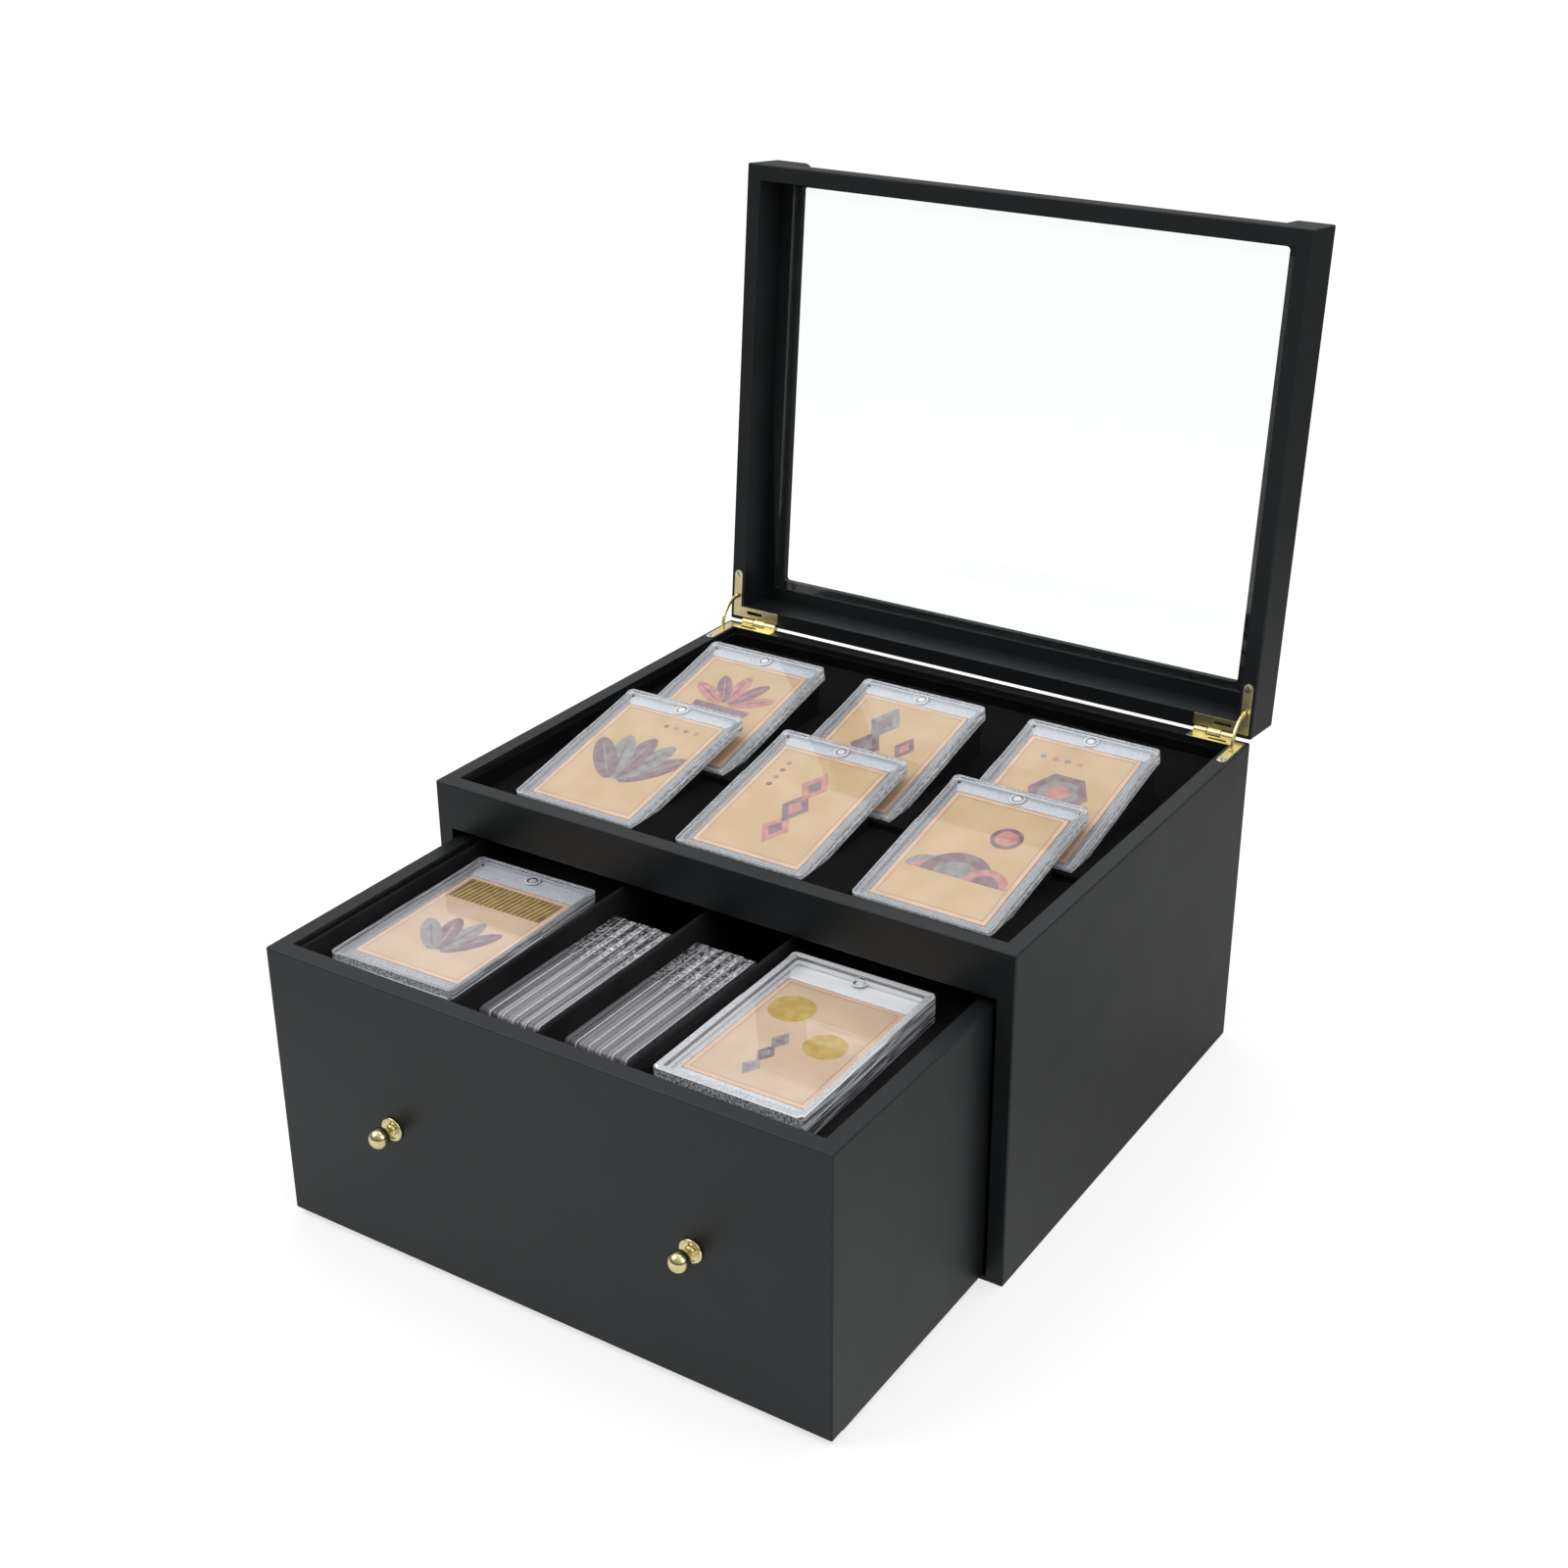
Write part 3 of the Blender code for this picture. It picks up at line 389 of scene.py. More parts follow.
def make_piece(name, bm, finish_names, body, replaced=(), turned=False):
    """A piece in its place, with its finishes, riding on its body.

    Its flat faces stay flat, unless it is turned. Its slot is that of its first finish.
    """
    mesh = bpy.data.meshes.new(name)
    bm.to_mesh(mesh)
    bm.free()
    piece = bpy.data.objects.new(name, mesh)
    bpy.context.scene.collection.objects.link(piece)
    for finish in finish_names:
        mesh.materials.append(finishes[finish])
    mesh.shade_smooth()
    mesh.set_sharp_from_angle(angle=math.radians(crease_angle))
    if not turned:
        even = piece.modifiers.new("even_faces", "WEIGHTED_NORMAL")
        even.keep_sharp = True
        even.weight = 100
    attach(piece, body)
    if replaced:
        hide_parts(*replaced)
    return piece


def dress_solid(node, finish):
    """Gives its finish to a CAD solid that shows as it is."""
    slots = nodes[node].data.materials
    slots.clear()
    slots.append(finishes[finish])


def merged_mesh(node):
    """A copy of a node's mesh with its triangles joined into flat faces."""
    bm = bmesh.new()
    bm.from_mesh(nodes[node].data)
    bmesh.ops.remove_doubles(bm, verts=bm.verts, dist=merge_distance)
    bmesh.ops.dissolve_limit(bm, angle_limit=math.radians(flat_angle), verts=bm.verts, edges=bm.edges)
    return bm


def side_planes(bm, sides):
    """The planes of the named sides, such as -x or +z, as (axis, sign, place)."""
    planes = []
    for side in sides.split():
        axis = "xyz".index(side[1])
        sign = 1 if side[0] == "+" else -1
        planes.append((axis, sign, max(sign * v.co[axis] for v in bm.verts) * sign))
    return planes


def planes_at(vert, planes):
    """Which of the planes a vertex lies on, by their numbers."""
    return {index for index, (axis, _, place) in enumerate(planes) if abs(vert.co[axis] - place) < on_plane}


def bevel(bm, edges, width, segments, clamp=False):
    """Rounds edges, and gives the new faces."""
    return bmesh.ops.bevel(bm, geom=edges, offset=width, segments=segments, profile=0.5, affect="EDGES",
                           clamp_overlap=clamp, material=-1)["faces"]


def round_edges(bm, width, segments, crisp_planes=(), least_angle=rounded_angle):
    """Rounds the sharp edges, apart from those that lie on a crisp plane."""
    bm.normal_update()
    chosen = []
    for edge in bm.edges:
        if len(edge.link_faces) != 2 or edge.calc_face_angle(0) < math.radians(least_angle):
            continue
        if planes_at(edge.verts[0], crisp_planes) & planes_at(edge.verts[1], crisp_planes):
            continue
        chosen.append(edge)
    bevel(bm, chosen, width, segments, clamp=True)


# Painted wood

hinge = next(joint for joint in frame["joints"] if joint["name"] == "lid_hinge")
hinge_point = Vector(hinge["pos_m"])
lid_opening = math.radians(hinge["range_deg"][0])
to_hinge = Matrix.Translation(hinge_point)
shut_lid = to_hinge @ Matrix.Rotation(lid_opening, 4, Vector(hinge["axis"])) @ to_hinge.inverted()


def painted_board(node, met_sides, crisp_sides):
    """A board whose paint runs over the joints: its met sides close the fit gap to their neighbours."""
    bm = merged_mesh(node)
    in_lid = body_of_node[node] == "lid"
    if in_lid:
        bm.transform(shut_lid)
    met = side_planes(bm, met_sides)
    for vert in bm.verts:
        for index in planes_at(vert, met):
            axis, sign, _ = met[index]
            vert.co[axis] += sign * fit_gap
    round_edges(bm, paint_edge, 2, side_planes(bm, f"{met_sides} {crisp_sides}"))
    if in_lid:
        bm.transform(shut_lid.inverted())
    make_piece(f"{node}_painted", bm, ["paint"], body_of_node[node], replaced=[node])


def build_wood():
    boards = {
        "side_left": ("", "+x"),
        "side_right": ("", "-x"),
        "back_panel": ("-x +x", ""),
        "front_rail": ("-x +x", ""),
        "base_panel": ("-x +x +y", "-z"),
        "lid_side_left": ("+z", "+x"),
        "lid_side_right": ("+z", "-x"),
        "lid_rear_rail": ("-x +x +z", ""),
        "lid_front_rail": ("-x +x +z", ""),
        "lid_face_frame": ("", "-z"),
        "drawer_front": ("", "+y"),
        "drawer_side_left": ("-y", "+x"),
        "drawer_side_right": ("-y", "-x"),
        "drawer_back": ("-x +x", ""),
    }
    for node, (met_sides, crisp_sides) in boards.items():
        painted_board(node, met_sides, crisp_sides)
    for node in ("tray_floor", "drawer_bottom"):
        dress_solid(node, "paint")


# Velvet


def build_velvet():
    """Linings, the tray's pad and ramps, and the drawer's block and dividers, all with soft edges. The drawer's
    velvet is painted lighter, to make up for the shade inside the drawer.
    """
    edges = {
        "tray_liner": 0.0007,
        "display_ramps": 0.0004,
        "display_bed": 0.0010,
        "drawer_liner": 0.0008,
        "drawer_former": velvet_edge,
        "drawer_divider_left": velvet_edge,
        "drawer_divider_middle": velvet_edge,
        "drawer_divider_right": velvet_edge,
    }
    for node, width in edges.items():
        bm = merged_mesh(node)
        round_edges(bm, width, 3)
        # The drawer's pieces take the lighter copy: painted light
        cloth = "drawer_velvet" if node.startswith("drawer") else "velvet"
        soft = make_piece(f"{node}_velvet", bm, [cloth], body_of_node[node], replaced=[node])


# Brass


def turn_profile(profile, steps):
    """A profile of (radius, height) points turned about Z."""
    bm = bmesh.new()
    points = [bm.verts.new((radius, 0, height)) for radius, height in profile]
    lines = [bm.edges.new(pair) for pair in zip(points, points[1:])]
    bmesh.ops.spin(bm, geom=points + lines, axis=(0, 0, 1), cent=(0, 0, 0), angle=2 * math.pi,
                   steps=steps, use_merge=True)
    bmesh.ops.remove_doubles(bm, verts=bm.verts, dist=merge_distance)
    bmesh.ops.recalc_face_normals(bm, faces=bm.faces)
    return bm


def arc_points(centre, radius, start, end, steps):
    """Points on an arc in (radius, height), with angles in degrees."""
    found = []
    for step in range(steps + 1):
        angle = math.radians(start + (end - start) * step / steps)
        found.append((centre[0] + radius * math.cos(angle), centre[1] + radius * math.sin(angle)))
    return found


knob_ball_radius = 0.0053
knob_ball_reach = 0.0093
knob_neck_radius = 0.0021
knob_flange_radius = 0.0062
knob_rim_radius = 0.0008
knob_dish_depth = 0.0007
knob_dome_radius = 0.0031
knob_dome_height = 0.0027
knob_steps = 56


def knob_profile():
    """A round-rimmed flange, a dished ring, a domed collar, a thin neck and a ball, from the face out."""
    rim = (knob_flange_radius - knob_rim_radius, knob_rim_radius)
    profile = [(0, 0), (rim[0], 0)]
    profile += arc_points(rim, knob_rim_radius, -90, 130, 10)
    profile.append((knob_dome_radius + knob_rim_radius / 2, knob_dish_depth))
    profile.append((knob_dome_radius, knob_dish_depth))
    for angle in (20, 40, 60):
        inward = math.cos(math.radians(angle))
        outward = math.sin(math.radians(angle))
        profile.append((knob_neck_radius + (knob_dome_radius - knob_neck_radius) * inward,
                        knob_dish_depth + (knob_dome_height - knob_dish_depth) * outward))
    profile.append((knob_neck_radius, knob_dome_height))
    start = math.degrees(math.asin(knob_neck_radius / knob_ball_radius)) - 90
    return profile + arc_points((0, knob_ball_reach), knob_ball_radius, start, 90, 24)


def build_knobs():
    for word in ("left", "right"):
        node = f"knob_{word}"
        low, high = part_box(node)
        face = Vector(((low.x + high.x) / 2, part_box("drawer_front")[0].y, (low.z + high.z) / 2))
        bm = turn_profile(knob_profile(), knob_steps)
        bm.transform(Matrix.Translation(face) @ Matrix.Rotation(math.radians(90), 4, "X"))
        make_piece(f"{node}_polished", bm, ["brass"], body_of_node[node], replaced=[node], turned=True)


screw_radius = 0.0024
screw_dome = 0.0001
screw_sink = 0.0011
screw_tip_share = 0.55
screw_slot = 0.0004
screw_slot_turn = 35
screw_steps = 28
side_leg_width = 0.0055


def screw_mesh():
    """A countersunk screw, nearly flush, with a shallow slot across its head, coloured dark as painted shade. Its
    rim lies at height 0.
    """
    head_radius = (screw_radius ** 2 + screw_dome ** 2) / (2 * screw_dome)
    spread = math.degrees(math.asin(screw_radius / head_radius))
    dome = arc_points((0, screw_dome - head_radius), head_radius, 90 - spread, 90, 6)
    bm = turn_profile([(0, -screw_sink), (screw_radius * screw_tip_share, -screw_sink)] + dome, screw_steps)
    for side in (-screw_slot, screw_slot):
        geom = bm.verts[:] + bm.edges[:] + bm.faces[:]
        bmesh.ops.bisect_plane(bm, geom=geom, plane_co=(side, 0, 0), plane_no=(1, 0, 0))
    groove = [face for face in bm.faces if face.calc_center_median().z > 0
              and abs(face.calc_center_median().x) < screw_slot]
    sunk = bmesh.ops.extrude_face_region(bm, geom=groove)["geom"]
    bmesh.ops.delete(bm, geom=groove, context="FACES")
    bmesh.ops.translate(bm, vec=(0, 0, -screw_dome / 2),
                        verts=[part for part in sunk if isinstance(part, bmesh.types.BMVert)])
    # The slot's faces take the second finish, dark: painted shade
    for part in sunk:
        if isinstance(part, bmesh.types.BMFace):
            part.material_index = 1
    return bm


def build_hinges():
    box_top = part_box("side_left")[1].z
    for word in ("left", "right"):
        for node in (f"hinge_base_leaf_{word}", f"hinge_lid_leaf_{word}", f"hinge_stay_{word}"):
            bm = merged_mesh(node)
            round_edges(bm, brass_edge, 2, least_angle=crease_angle)
            make_piece(f"{node}_polished", bm, ["satin_brass"], body_of_node[node], replaced=[node])
        stay_low, stay_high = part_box(f"hinge_stay_{word}")
        across = (stay_low.x + stay_high.x) / 2
        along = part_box(f"hinge_base_leaf_{word}")[0].y + side_leg_width / 2
        slot_turn = Matrix.Rotation(math.radians(screw_slot_turn), 4, "Z")
        upright = Matrix.Translation((across, along, box_top)) @ slot_turn
        head_down = Matrix.Rotation(math.pi, 4, "Y") @ slot_turn
        over_it = Matrix.Translation((across, along, box_top + fit_gap)) @ head_down
        places = {"base": ("carcass", upright), "lid": ("lid", shut_lid.inverted() @ over_it)}
        for part, (body, place) in places.items():
            bm = screw_mesh()
            bm.transform(place)
            make_piece(f"hinge_screw_{part}_{word}", bm, ["pale_brass", "smoke_and_slot_shade"], body)


# Cards in clear cases

# The faces of a case by their finish, with 0 for clear plastic; walls, rims, lighter margins and the border carry
# painted light
wall_face, frost_face, painted_highlight_face, painted_highlight_rim_face, ring_face, painted_shade_face = range(1, 7)


def lay_of(card_node):
    """Where a card lies: its middle, and its own axes across, along and up."""
    bm = merged_mesh(card_node)
    points = [vert.co.copy() for vert in bm.verts]
    bm.free()
    middle = sum(points, Vector()) / len(points)
    by_y = sorted(points, key=lambda point: point.y)
    by_x = sorted(points, key=lambda point: point.x)
    half = len(points) // 2
    along = (sum(by_y[half:], Vector()) - sum(by_y[:half], Vector())).normalized()
    across = sum(by_x[half:], Vector()) - sum(by_x[:half], Vector())
    up = across.cross(along).normalized()
    across = along.cross(up)
    turn = Matrix((across, along, up)).transposed().to_4x4()
    return Matrix.Translation(middle) @ turn


def local_span(node, lay):
    """A node's lowest and highest corners as the card lies."""
    back = lay.inverted()
    points = [back @ vert.co for vert in nodes[node].data.vertices]
    return [Vector(pick(point[axis] for point in points) for axis in range(3)) for pick in (min, max)]


def slab(low, high):
    """A block between two corners, with its bottom and top faces."""
    bm = bmesh.new()
    bmesh.ops.create_cube(bm, size=1)
    bmesh.ops.scale(bm, vec=high - low, verts=bm.verts)
    bmesh.ops.translate(bm, vec=(high + low) / 2, verts=bm.verts)
    by_height = sorted(bm.faces, key=lambda face: face.calc_center_median().z)
    return bm, by_height[0], by_height[-1]


def fit_face(face, low, high):
    """Moves a four-cornered face's corners to a rectangle."""
    middle = face.calc_center_median()
    for vert in face.verts:
        for axis in (0, 1):
            vert.co[axis] = (low, high)[vert.co[axis] > middle[axis]][axis]


def sink(bm, face, low, high, depth, draft):
    """Sinks a pocket into a flat face. Gives the rim round it and its walls."""
    way = face.normal.z
    rim = bmesh.ops.inset_individual(bm, faces=[face], thickness=fit_gap, use_even_offset=True)["faces"]
    fit_face(face, low, high)
    floor = bmesh.ops.extrude_discrete_faces(bm, faces=[face])["faces"][0]
    slope = Vector((draft, draft, 0))
    fit_face(floor, low + slope, high - slope)
    bmesh.ops.translate(bm, vec=(0, 0, -way * depth), verts=floor.verts)
    walls = [other for edge in floor.edges for other in edge.link_faces if other is not floor]
    return rim, walls


def upright_edges(faces):
    """The edges of these faces that run from the bottom to the top."""
    found = {edge for face in faces for edge in face.edges}
    return [edge for edge in found if abs(edge.verts[0].co.z - edge.verts[1].co.z) > edge.calc_length() / 2]


case_corner = 0.0028
case_rim = 0.0005
card_room = 0.0004
hollow_margin = 0.0021
thick_hollow_margin = 0.0038
hollow_top_share = 0.52
hollow_draft = 0.0008
hollow_corner = 0.0016
grip_start_share = 0.60
grip_end_share = 0.93
grip_pitch = 0.0034
grip_depth = 0.0004


def cut_grips(bm, low, high):
    """Scallops near the top end of both long sides, for the fingers."""
    length = high.y - low.y
    start = low.y + length * grip_start_share
    count = round(length * (grip_end_share - grip_start_share) / grip_pitch)
    for side, inward in ((low.x, 1), (high.x, -1)):
        for cut in range(2 * count + 1):
            strip = [face for face in bm.faces
                     if all(abs(vert.co.x - side) < case_rim + on_plane for vert in face.verts)]
            geom = list({part for face in strip for part in [face, *face.edges, *face.verts]})
            made = bmesh.ops.bisect_plane(bm, geom=geom, plane_co=(0, start + cut * grip_pitch / 2, 0),
                                          plane_no=(0, 1, 0))["geom_cut"]
            if cut % 2:
                for vert in made:
                    if isinstance(vert, bmesh.types.BMVert):
                        vert.co.x += inward * grip_depth * (1 - abs(vert.co.x - side) / case_rim)


def is_ahead(face, pocket):
    """Whether a face lies beyond the pocket's top end."""
    return face.calc_center_median().y > pocket[1].y


def case_half(low, high, pocket, depth, draft, is_base, border=0):
    """Half of a case: a plate with round corners and rims with a painted highlight, a pocket in its inner face and
    grips.
    """
    bm, bottom, top = slab(low, high)
    # A border round the cover's top: painted highlight at the top end, and a painted-light band round the rest
    if border:
        inset = bmesh.ops.inset_individual(bm, faces=[top], thickness=border, use_even_offset=True)
        for face in inset["faces"]:
            face.material_index = painted_highlight_rim_face if is_ahead(face, pocket) else ring_face
    # The outer walls take the wall finish, with its painted glints
    outer = upright_edges(bm.faces)
    for edge in outer:
        for face in edge.link_faces:
            face.material_index = wall_face
    rim, walls = sink(bm, top if is_base else bottom, *pocket, depth, draft)
    for face in rim:
        # The margin at the top end takes the lighter tone, a painted highlight
        base_tone = painted_highlight_face if is_ahead(face, pocket) else frost_face
        face.material_index = base_tone if is_base else ring_face
    # The cover's hollow walls take the lighter tone too: painted highlight
    for face in walls:
        face.material_index = frost_face if is_base else painted_highlight_face
    inner = upright_edges(walls)
    bevel(bm, outer, case_corner, 6)
    bevel(bm, inner, card_room if is_base else hollow_corner, 4)
    # Bevels along the walls' edges take the rim finish: painted highlight lines
    rims = [edge for edge in bm.edges if len(edge.link_faces) == 2
            and {face.material_index == wall_face for face in edge.link_faces} == {True, False}]
    for face in bevel(bm, rims, case_rim, 2, clamp=True):
        face.material_index = painted_highlight_rim_face
    cut_grips(bm, low, high)
    bmesh.ops.recalc_face_normals(bm, faces=bm.faces)
    return bm


def both_halves(base, cover, pocket, margin, border=0):
    """The two halves of a case, from their spans, the card's pocket and the cover's hollow margin."""
    low = Vector((cover[0].x + margin, cover[0].y + margin, 0))
    high = Vector((cover[1].x - margin, cover[1].y - margin, 0))
    hollow_depth = (cover[1].z - cover[0].z) * hollow_top_share
    lower = case_half(*base, pocket, pocket[1].z - pocket[0].z, 0, True)
    upper = case_half(*cover, (low, high), hollow_depth, hollow_draft, False, border)
    return lower, upper


# Finishes in slot order: whitish walls, rims, lighter margins and the right drawer case's border are painted
# light, and its darker walls painted shade
case_finishes = {
    "tray": ["clear", "edge", "frost", "frost_painted_highlight", "rim", "clear"],
    "drawer_left": ["clear", "painted_glint_edge", "frost", "frost_painted_highlight", "rim", "clear"],
    "drawer_right": ["clear", "painted_shade_edge", "frost_painted_highlight", "rim", "rim", "painted_light_border"],
}


def build_case(prefix):
    """A base with a pocket for the card, a hollow cover over it, the card, the magnets and the pegs."""
    card_node = f"{prefix}_card"
    lay = lay_of(card_node)
    body = body_of_node[card_node]
    card = local_span(card_node, lay)
    base = local_span(f"{prefix}_case_base", lay)
    cover = local_span(f"{prefix}_case_cover", lay)
    room = Vector((card_room, card_room, card_room / 2))
    pocket = (card[0] - room, Vector((card[1].x + card_room, card[1].y + card_room, base[1].z)))
    margins = (thick_hollow_margin, thick_hollow_margin) if prefix == "drawer_right" else (hollow_margin, 0)
    case_look = case_finishes.get(prefix, case_finishes["tray"])
    for half, bm in zip(("base", "cover"), both_halves(base, cover, pocket, *margins)):
        bm.transform(lay)
        make_piece(f"{prefix}_{half}_clear", bm, case_look, body, replaced=[f"{prefix}_case_{half}"])
    build_card(card_node, lay, body, *card)
    build_magnets(prefix, lay, body, base, cover)


magnet_radius = 0.0020
magnet_thickness = 0.0009
magnet_inset = 0.0052
seat_radius = 0.0027
seat_wire = 0.0004
collar_radius = 0.0036
collar_wire = 0.0004
peg_radius = 0.0007
peg_inset = 0.0036
peg_height = 0.0010
peg_steps = 10
magnet_steps = 20
ring_steps = 24
wire_steps = 8


def wire_ring(radius, wire):
    """A thin ring lying flat."""
    return turn_profile(arc_points((radius, 0), wire, 0, 360, wire_steps), ring_steps)


def build_magnets(prefix, lay, body, base, cover):
    """Two nickel discs face to face across the seam, their seat, a thin ring in the white rim finish, a painted
    highlight, and the corner pegs.
    """
    middle = (base[0].x + base[1].x) / 2
    seam = (base[1].z + cover[0].z) / 2
    place = Matrix.Translation((middle, base[1].y - magnet_inset, seam))
    profile = [(0, -magnet_thickness), (magnet_radius, -magnet_thickness),
               (magnet_radius, magnet_thickness), (0, magnet_thickness)]
    bm = turn_profile(profile, magnet_steps)
    bm.transform(lay @ place)
    make_piece(f"{prefix}_magnet", bm, ["nickel"], body)
    rise = (cover[1].z - cover[0].z) * hollow_top_share / 2
    bm = wire_ring(seat_radius, seat_wire)
    bm.transform(lay @ place @ Matrix.Translation((0, 0, seat_wire + fit_gap)))
    seat = "smoke_and_slot_shade" if prefix.startswith("drawer") else "frost"
    make_piece(f"{prefix}_magnet_seat", bm, [seat], body)
    # A white ring round the magnet: painted highlight
    bm = wire_ring(collar_radius, collar_wire)
    bm.transform(lay @ place @ Matrix.Translation((0, 0, rise)))
    make_piece(f"{prefix}_magnet_collar", bm, ["rim"], body)
    bm = bmesh.new()
    for x in (base[0].x + peg_inset, base[1].x - peg_inset):
        for y in (base[0].y + peg_inset, base[1].y - peg_inset):
            bmesh.ops.create_cone(bm, cap_ends=True, segments=peg_steps, radius1=peg_radius,
                                  radius2=peg_radius, depth=peg_height,
                                  matrix=Matrix.Translation((x, y, base[1].z)))
    bm.transform(lay)
    make_piece(f"{prefix}_pegs", bm, ["smoke_and_slot_shade"], body)


# The walls of the cases on edge carry painted glints, or painted shade on the duller halves
standing_finishes = ["clear", "standing", "frost", "frost_painted_highlight", "frost_painted_highlight", "clear", "painted_shade_standing"]
standing_count = 5
standing_cover_share = 0.46
standing_jog = 0.0006
# The halves whose walls take the darker copy, painted shade, by their place in the group
standing_painted_shade = {(0, "base")} | {(place, "cover") for place in range(standing_count)}
standing_card_margin = 0.0062
standing_pocket_share = 1 / 3


def add_on_edge(shell, bm):
    """Stands a shape on its edge and adds it to a shell."""
    bm.transform(Matrix.Rotation(math.radians(-90), 4, "Y"))
    mesh = bpy.data.meshes.new("on_edge")
    bm.to_mesh(mesh)
    bm.free()
    shell.from_mesh(mesh)
    bpy.data.meshes.remove(mesh)


def build_standing(word):
    """Five cases on edge, each a card between two clear halves, with the closed gap between them."""
    node = f"standing_cases_{word}"
    low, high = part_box(node)
    pitch = (high.x - low.x) / standing_count
    cover_width = pitch * standing_cover_share
    shells = {"base": bmesh.new(), "cover": bmesh.new()}
    cards = bmesh.new()
    for place in range(standing_count):
        left = low.x + pitch * place
        lifted = standing_jog if place % 3 == 1 else 0
        seam = left + cover_width
        spans = {
            "cover": (left + fit_gap, seam - fit_gap / 2),
            "base": (seam + fit_gap / 2, left + pitch - fit_gap),
        }
        half_span = {}
        for half, (start, end) in spans.items():
            half_span[half] = (Vector((low.z, low.y + lifted, -end)),
                               Vector((high.z, high.y - lifted, -start)))
        margin = Vector((standing_card_margin, standing_card_margin, 0))
        base = half_span["base"]
        pocket = (base[0] + margin, base[1] - margin)
        pocket[0].z = base[1].z - (base[1].z - base[0].z) * standing_pocket_share
        halves = both_halves(base, half_span["cover"], pocket, hollow_margin)
        for half, bm in zip(("base", "cover"), halves):
            if (place, half) in standing_painted_shade:
                for face in bm.faces:
                    if face.material_index == wall_face:
                        face.material_index = painted_shade_face
            add_on_edge(shells[half], bm)
        room = Vector((card_room, card_room, card_room / 2))
        add_on_edge(cards, slab(pocket[0] + room, pocket[1] - room)[0])
    make_piece(f"{node}_cards", cards, ["field"], body_of_node[node])
    for half, bm in shells.items():
        make_piece(f"{node}_{half}", bm, standing_finishes, body_of_node[node], replaced=[node])


# Printing on the cards: flat shapes of ink, in the card's own plane


leaf_place_share = 0.55
leaf_length_share = 0.45
leaf_slimness = 0.34
midrib_length_share = 0.38
midrib_slimness = 0.045
inner_hill_share = 0.62
inner_diamond_share = 0.5
diamond_slimness = 0.6
medal_step_share = 0.3
bar_share = 0.4
bar_lean_share = 0.8


def ink_face(bm, points, level, index):
    face = bm.faces.new([bm.verts.new((x, y, level)) for x, y in points])
    face.material_index = index
    if face.normal.z < 0:
        face.normal_flip()


def round_points(centre, radius, steps=24, start=0.0, end=360.0, squash=1.0, turn=0.0):
    """Points round an ellipse, or along part of it, turned about its centre."""
    found = []
    count = steps if abs(end - start) >= 360 else steps + 1
    for step in range(count):
        angle = math.radians(start + (end - start) * step / steps)
        x, y = radius * math.cos(angle), radius * squash * math.sin(angle)
        sway = math.radians(turn)
        found.append((centre[0] + x * math.cos(sway) - y * math.sin(sway),
                      centre[1] + x * math.sin(sway) + y * math.cos(sway)))
    return found


def ink_frame(bm, half_x, half_y, inset, width, level, index):
    """A thin rectangular line, inset from the card's edge."""
    x, y = half_x - inset, half_y - inset
    low, high = width - y, y - width
    bars = ((-x, x, high, y), (-x, x, -y, low), (-x, width - x, low, high), (x - width, x, low, high))
    for x0, x1, y0, y1 in bars:
        ink_face(bm, [(x0, y0), (x1, y0), (x1, y1), (x0, y1)], level, index)


def petals(bm, level, centre, reach, count, first, spread, inks):
    """A fan of leaf shapes, each with a midrib."""
    for place in range(count):
        turn = first + spread * place
        way = math.radians(turn)
        away = reach * leaf_place_share
        middle = (centre[0] + away * math.cos(way), centre[1] + away * math.sin(way))
        height = level + place * ink_step
        leaf = round_points(middle, reach * leaf_length_share, 16, squash=leaf_slimness, turn=turn)
        ink_face(bm, leaf, height, inks[place % len(inks)])
        midrib = round_points(middle, reach * midrib_length_share, 12, squash=midrib_slimness, turn=turn)
        ink_face(bm, midrib, height + ink_step / 2, inks[(place + 1) % len(inks)])


def hills(bm, level, width, base, heights, inks):
    """Rounded hills side by side, each in front of the last."""
    for place, (height, ink) in enumerate(zip(heights, inks)):
        middle = (-width / 2 + width * (place + 0.5) / len(heights), base)
        ink_face(bm, round_points(middle, height, 20, 0, 180), level + place * ink_step, ink)
        inner = round_points(middle, height * inner_hill_share, 16, 0, 180)
        ink_face(bm, inner, level + (place + 0.5) * ink_step, inks[place - 1])


def diamonds(bm, level, centre, size, count, pitch, inks):
    """A row of diamonds, each with a smaller one of the next ink inside."""
    for place in range(count):
        x, y = centre[0], centre[1] + pitch * place
        for share, rise, turn in ((1, 0, 0), (inner_diamond_share, 0.5, 1)):
            reach = size * share
            half = reach * diamond_slimness
            shape = [(x - half, y), (x, y - reach), (x + half, y), (x, y + reach)]
            ink_face(bm, shape, level + (place + rise) * ink_step, inks[(place + turn) % len(inks)])


def medal(bm, level, centre, radius, corners, inks):
    """A disc or polygon with smaller ones inside it, one for each ink."""
    for place, ink in enumerate(inks):
        shape = round_points(centre, radius * (1 - medal_step_share * place), corners)
        ink_face(bm, shape, level + place * ink_step, ink)


def dots(bm, level, start, step, count, radius, inks):
    """A row of round dots."""
    for place in range(count):
        middle = (start[0] + step[0] * place, start[1] + step[1] * place)
        ink_face(bm, round_points(middle, radius, 12), level, inks[place % len(inks)])


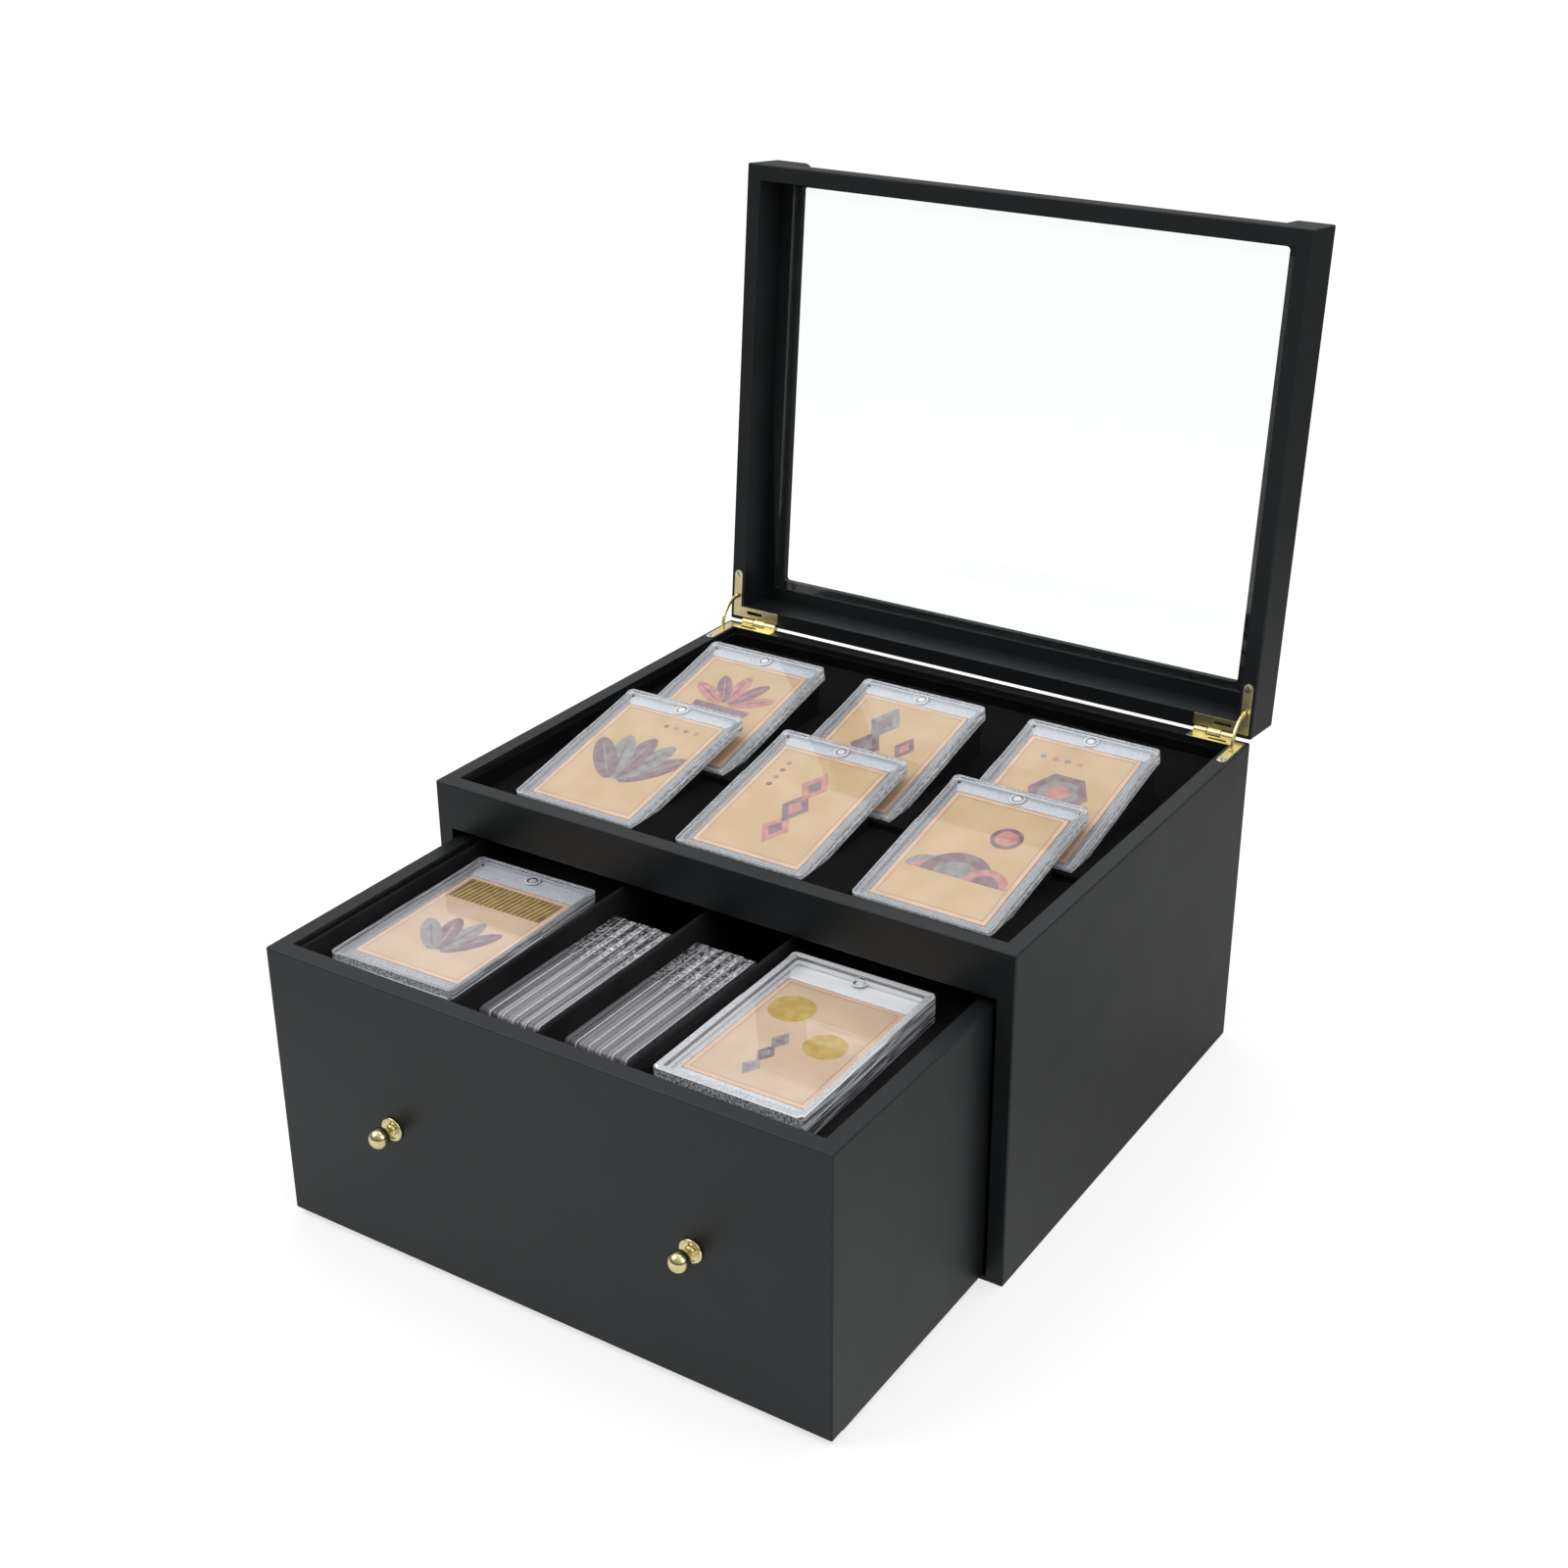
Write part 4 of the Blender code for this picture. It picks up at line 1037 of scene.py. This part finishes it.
def band(bm, level, y, height, half_x, bars, inks):
    """A dark band across the card, crossed by slanting bars."""
    ink_face(bm, [(-half_x, y), (half_x, y), (half_x, y + height), (-half_x, y + height)], level, inks[0])
    pitch = 2 * half_x / (bars + 1)
    lean = pitch * bar_lean_share
    bar = pitch * bar_share
    for place in range(bars):
        x = -half_x + pitch * place + bar
        shape = [(x, y), (x + bar, y), (x + bar + lean, y + height), (x + lean, y + height)]
        ink_face(bm, shape, level + ink_step, inks[1])


brown, mauve, rose, grey, gold, blush, umber = range(1, 8)
motif_inks = ["line", "mauve", "rose", "grey", "gold", "blush", "umber"]
border_width = 0.0024
border_line = 0.0004


def print_card(bm, design, level):
    """Each card's own plain motifs."""
    if design == "front_left":
        petals(bm, level, (0.002, -0.022), 0.044, 5, 50, 20, (mauve, grey))
        dots(bm, level, (0.020, 0.034), (-0.0065, 0), 4, 0.0016, (rose, mauve))
    elif design == "front_middle":
        diamonds(bm, level, (0.003, -0.020), 0.013, 3, 0.019, (rose, mauve))
        dots(bm, level, (-0.021, 0.031), (0, -0.0065), 4, 0.0016, (grey, mauve))
    elif design == "front_right":
        hills(bm, level, 0.050, -0.018, (0.011, 0.019, 0.012), (grey, mauve, rose))
        medal(bm, level, (0.010, 0.019), 0.0085, 24, (mauve, rose))
    elif design == "back_left":
        ink_face(bm, round_points((0.001, 0.004), 0.018, 24, 180, 360), level, mauve)
        petals(bm, level, (0.001, 0.004), 0.030, 5, 30, 30, (rose, mauve))
    elif design == "back_middle":
        diamonds(bm, level, (-0.008, 0.002), 0.015, 2, 0.022, (mauve, grey))
        diamonds(bm, level, (0.013, -0.008), 0.010, 2, 0.016, (rose, mauve))
    elif design == "back_right":
        medal(bm, level, (0.003, 0.004), 0.017, 6, (mauve, grey, rose))
        dots(bm, level, (-0.018, 0.030), (0.007, 0), 4, 0.0018, (grey, rose))
    elif design == "drawer_left":
        half_x = card_width / 2 - 0.003
        band(bm, level, 0.022, 0.0195, half_x, 19, (umber, gold))
        petals(bm, level, (0.003, -0.028), 0.036, 4, 60, 24, (mauve, grey))
    else:
        medal(bm, level, (-0.016, 0.022), 0.0115, 20, (gold,))
        medal(bm, level, (0.014, 0.002), 0.0105, 20, (gold,))
        diamonds(bm, level, (-0.006, -0.028), 0.0075, 3, 0.012, (grey, mauve))


def build_card(node, lay, body, low, high):
    """A coated card with a thin printed border and its motifs."""
    bm, _, top = slab(low, high)
    bevel(bm, upright_edges(bm.faces), card_corner, 4)
    level = high.z + ink_lift
    half_x, half_y = card_width / 2, card_length / 2
    ink_frame(bm, half_x, half_y, 0, border_width, level, blush)
    ink_frame(bm, half_x, half_y, border_width, border_line, level, brown)
    print_card(bm, node.removesuffix("_card"), level)
    bm.transform(lay)
    field = "pale_field" if node.startswith("drawer") else "field"
    make_piece(f"{node}_printed", bm, [field, *motif_inks], body, replaced=[node])


def build_cases():
    for row in ("front", "back"):
        for column in ("left", "middle", "right"):
            build_case(f"{row}_{column}")
    for word in ("left", "right"):
        build_case(f"drawer_{word}")
        build_standing(word)


# Studio


def build_camera():
    data = bpy.data.cameras.new("camera")
    data.sensor_width = 36
    data.lens = camera_lens
    data.shift_x, data.shift_y = camera_shift
    data.clip_end = 100
    forward = Vector((math.sin(camera_yaw) * math.cos(camera_pitch),
                      math.cos(camera_yaw) * math.cos(camera_pitch), -math.sin(camera_pitch)))
    right = Vector((math.cos(camera_yaw), -math.sin(camera_yaw), 0))
    up = right.cross(forward)
    rolled_right = right * math.cos(camera_roll) + up * math.sin(camera_roll)
    rolled_up = up * math.cos(camera_roll) - right * math.sin(camera_roll)
    camera = bpy.data.objects.new("camera", data)
    turn = Matrix((rolled_right, rolled_up, -forward)).transposed().to_4x4()
    camera.matrix_world = Matrix.Translation(camera_place) @ turn
    bpy.context.scene.collection.objects.link(camera)
    bpy.context.scene.camera = camera


softbox_aim = Vector((0, -0.05, 0.15))
# Each softbox's place, size and power in watts
softboxes = {
    "softbox_left": ((-1.4, -1.3, 2.0), 1.6, 16),
    "softbox_right": ((1.9, -0.4, 1.5), 1.4, 9),
    "softbox_top": ((0.1, 0.5, 2.4), 1.8, 10),
}


def area_light(name, place, size, power):
    data = bpy.data.lights.new(name, "AREA")
    data.size = size
    data.energy = power
    lamp = bpy.data.objects.new(name, data)
    lamp.location = place
    lamp.rotation_euler = (softbox_aim - Vector(place)).to_track_quat("-Z", "Y").to_euler()
    bpy.context.scene.collection.objects.link(lamp)


def seen_straight(tree):
    """1 for what the camera sees, straight or through clear plastic and glass, and 0 in reflections."""
    path = tree.nodes.new("ShaderNodeLightPath")
    unmirrored = combine(tree, "LESS_THAN", path.outputs["Glossy Depth"], 0.5)
    through = combine(tree, "MULTIPLY", path.outputs["Is Transmission Ray"], unmirrored)
    return combine(tree, "MAXIMUM", path.outputs["Is Camera Ray"], through)


def build_world():
    """White to the camera and through glass. What lights the object is dimmer low down and in front."""
    world = bpy.data.worlds.new("studio")
    world.use_nodes = True
    tree = world.node_tree
    back = tree.nodes["Background"]
    way = split_axes(tree, "Generated")
    turned = ramp(tree, way["Y"], -0.85, -0.25, 0.50, 1.0)
    raised = ramp(tree, way["Z"], 0.12, 0.50, 0.16, 0.86)
    level = combine(tree, "MULTIPLY", turned, raised)
    seen = seen_straight(tree)
    tree.links.new(combine(tree, "MAXIMUM", level, seen), back.inputs["Strength"])
    back.inputs["Color"].default_value = (1, 1, 1, 1)
    bpy.context.scene.world = world


floor_size = 12
floor_tone = (0.42, 0.42, 0.42)
far_floor_tone = (0.05, 0.05, 0.05)


def build_floor():
    """A wide white sheet that keeps a faint soft shadow.

    Gloss on the box sees it bright in front, and dim behind and to the left.
    """
    bm = bmesh.new()
    bmesh.ops.create_grid(bm, x_segments=1, y_segments=1, size=floor_size)
    mesh = bpy.data.meshes.new("floor")
    bm.to_mesh(mesh)
    bm.free()
    floor = bpy.data.objects.new("floor", mesh)
    floor.location.z = -fit_gap
    bpy.context.scene.collection.objects.link(floor)
    made, tree, shader = new_finish("studio_floor")
    place = split_axes(tree, "Object")
    far = ramp(tree, place["Y"], 0.35, 1.0, 0, 1)
    tree.links.new(blend(tree, far, floor_tone, far_floor_tone), shader.inputs["Base Color"])
    shader.inputs["Roughness"].default_value = 1
    shader.inputs["Specular IOR Level"].default_value = 0
    path = tree.nodes.new("ShaderNodeLightPath")
    in_front = ramp(tree, place["Y"], -0.32, 0.05, 0.47, 0.08)
    to_right = ramp(tree, place["X"], -0.46, -0.32, 0.2, 1.0)
    near = combine(tree, "MULTIPLY", in_front, to_right)
    mirrored = combine(tree, "MULTIPLY", near, path.outputs["Is Glossy Ray"])
    straight = combine(tree, "MULTIPLY", ramp(tree, far, 0, 1, 0.67, 1.0), seen_straight(tree))
    shader.inputs["Emission Color"].default_value = (1, 1, 1, 1)
    tree.links.new(combine(tree, "MAXIMUM", mirrored, straight), shader.inputs["Emission Strength"])
    mesh.materials.append(made)


def build_studio():
    build_camera()
    build_world()
    build_floor()
    for name, (place, size, power) in softboxes.items():
        area_light(name, place, size, power)
    bpy.context.scene.view_settings.view_transform = "Standard"


build_studio()
build_wood()
build_velvet()
build_knobs()
build_hinges()
build_cases()
dress_solid("lid_pane", "pane")
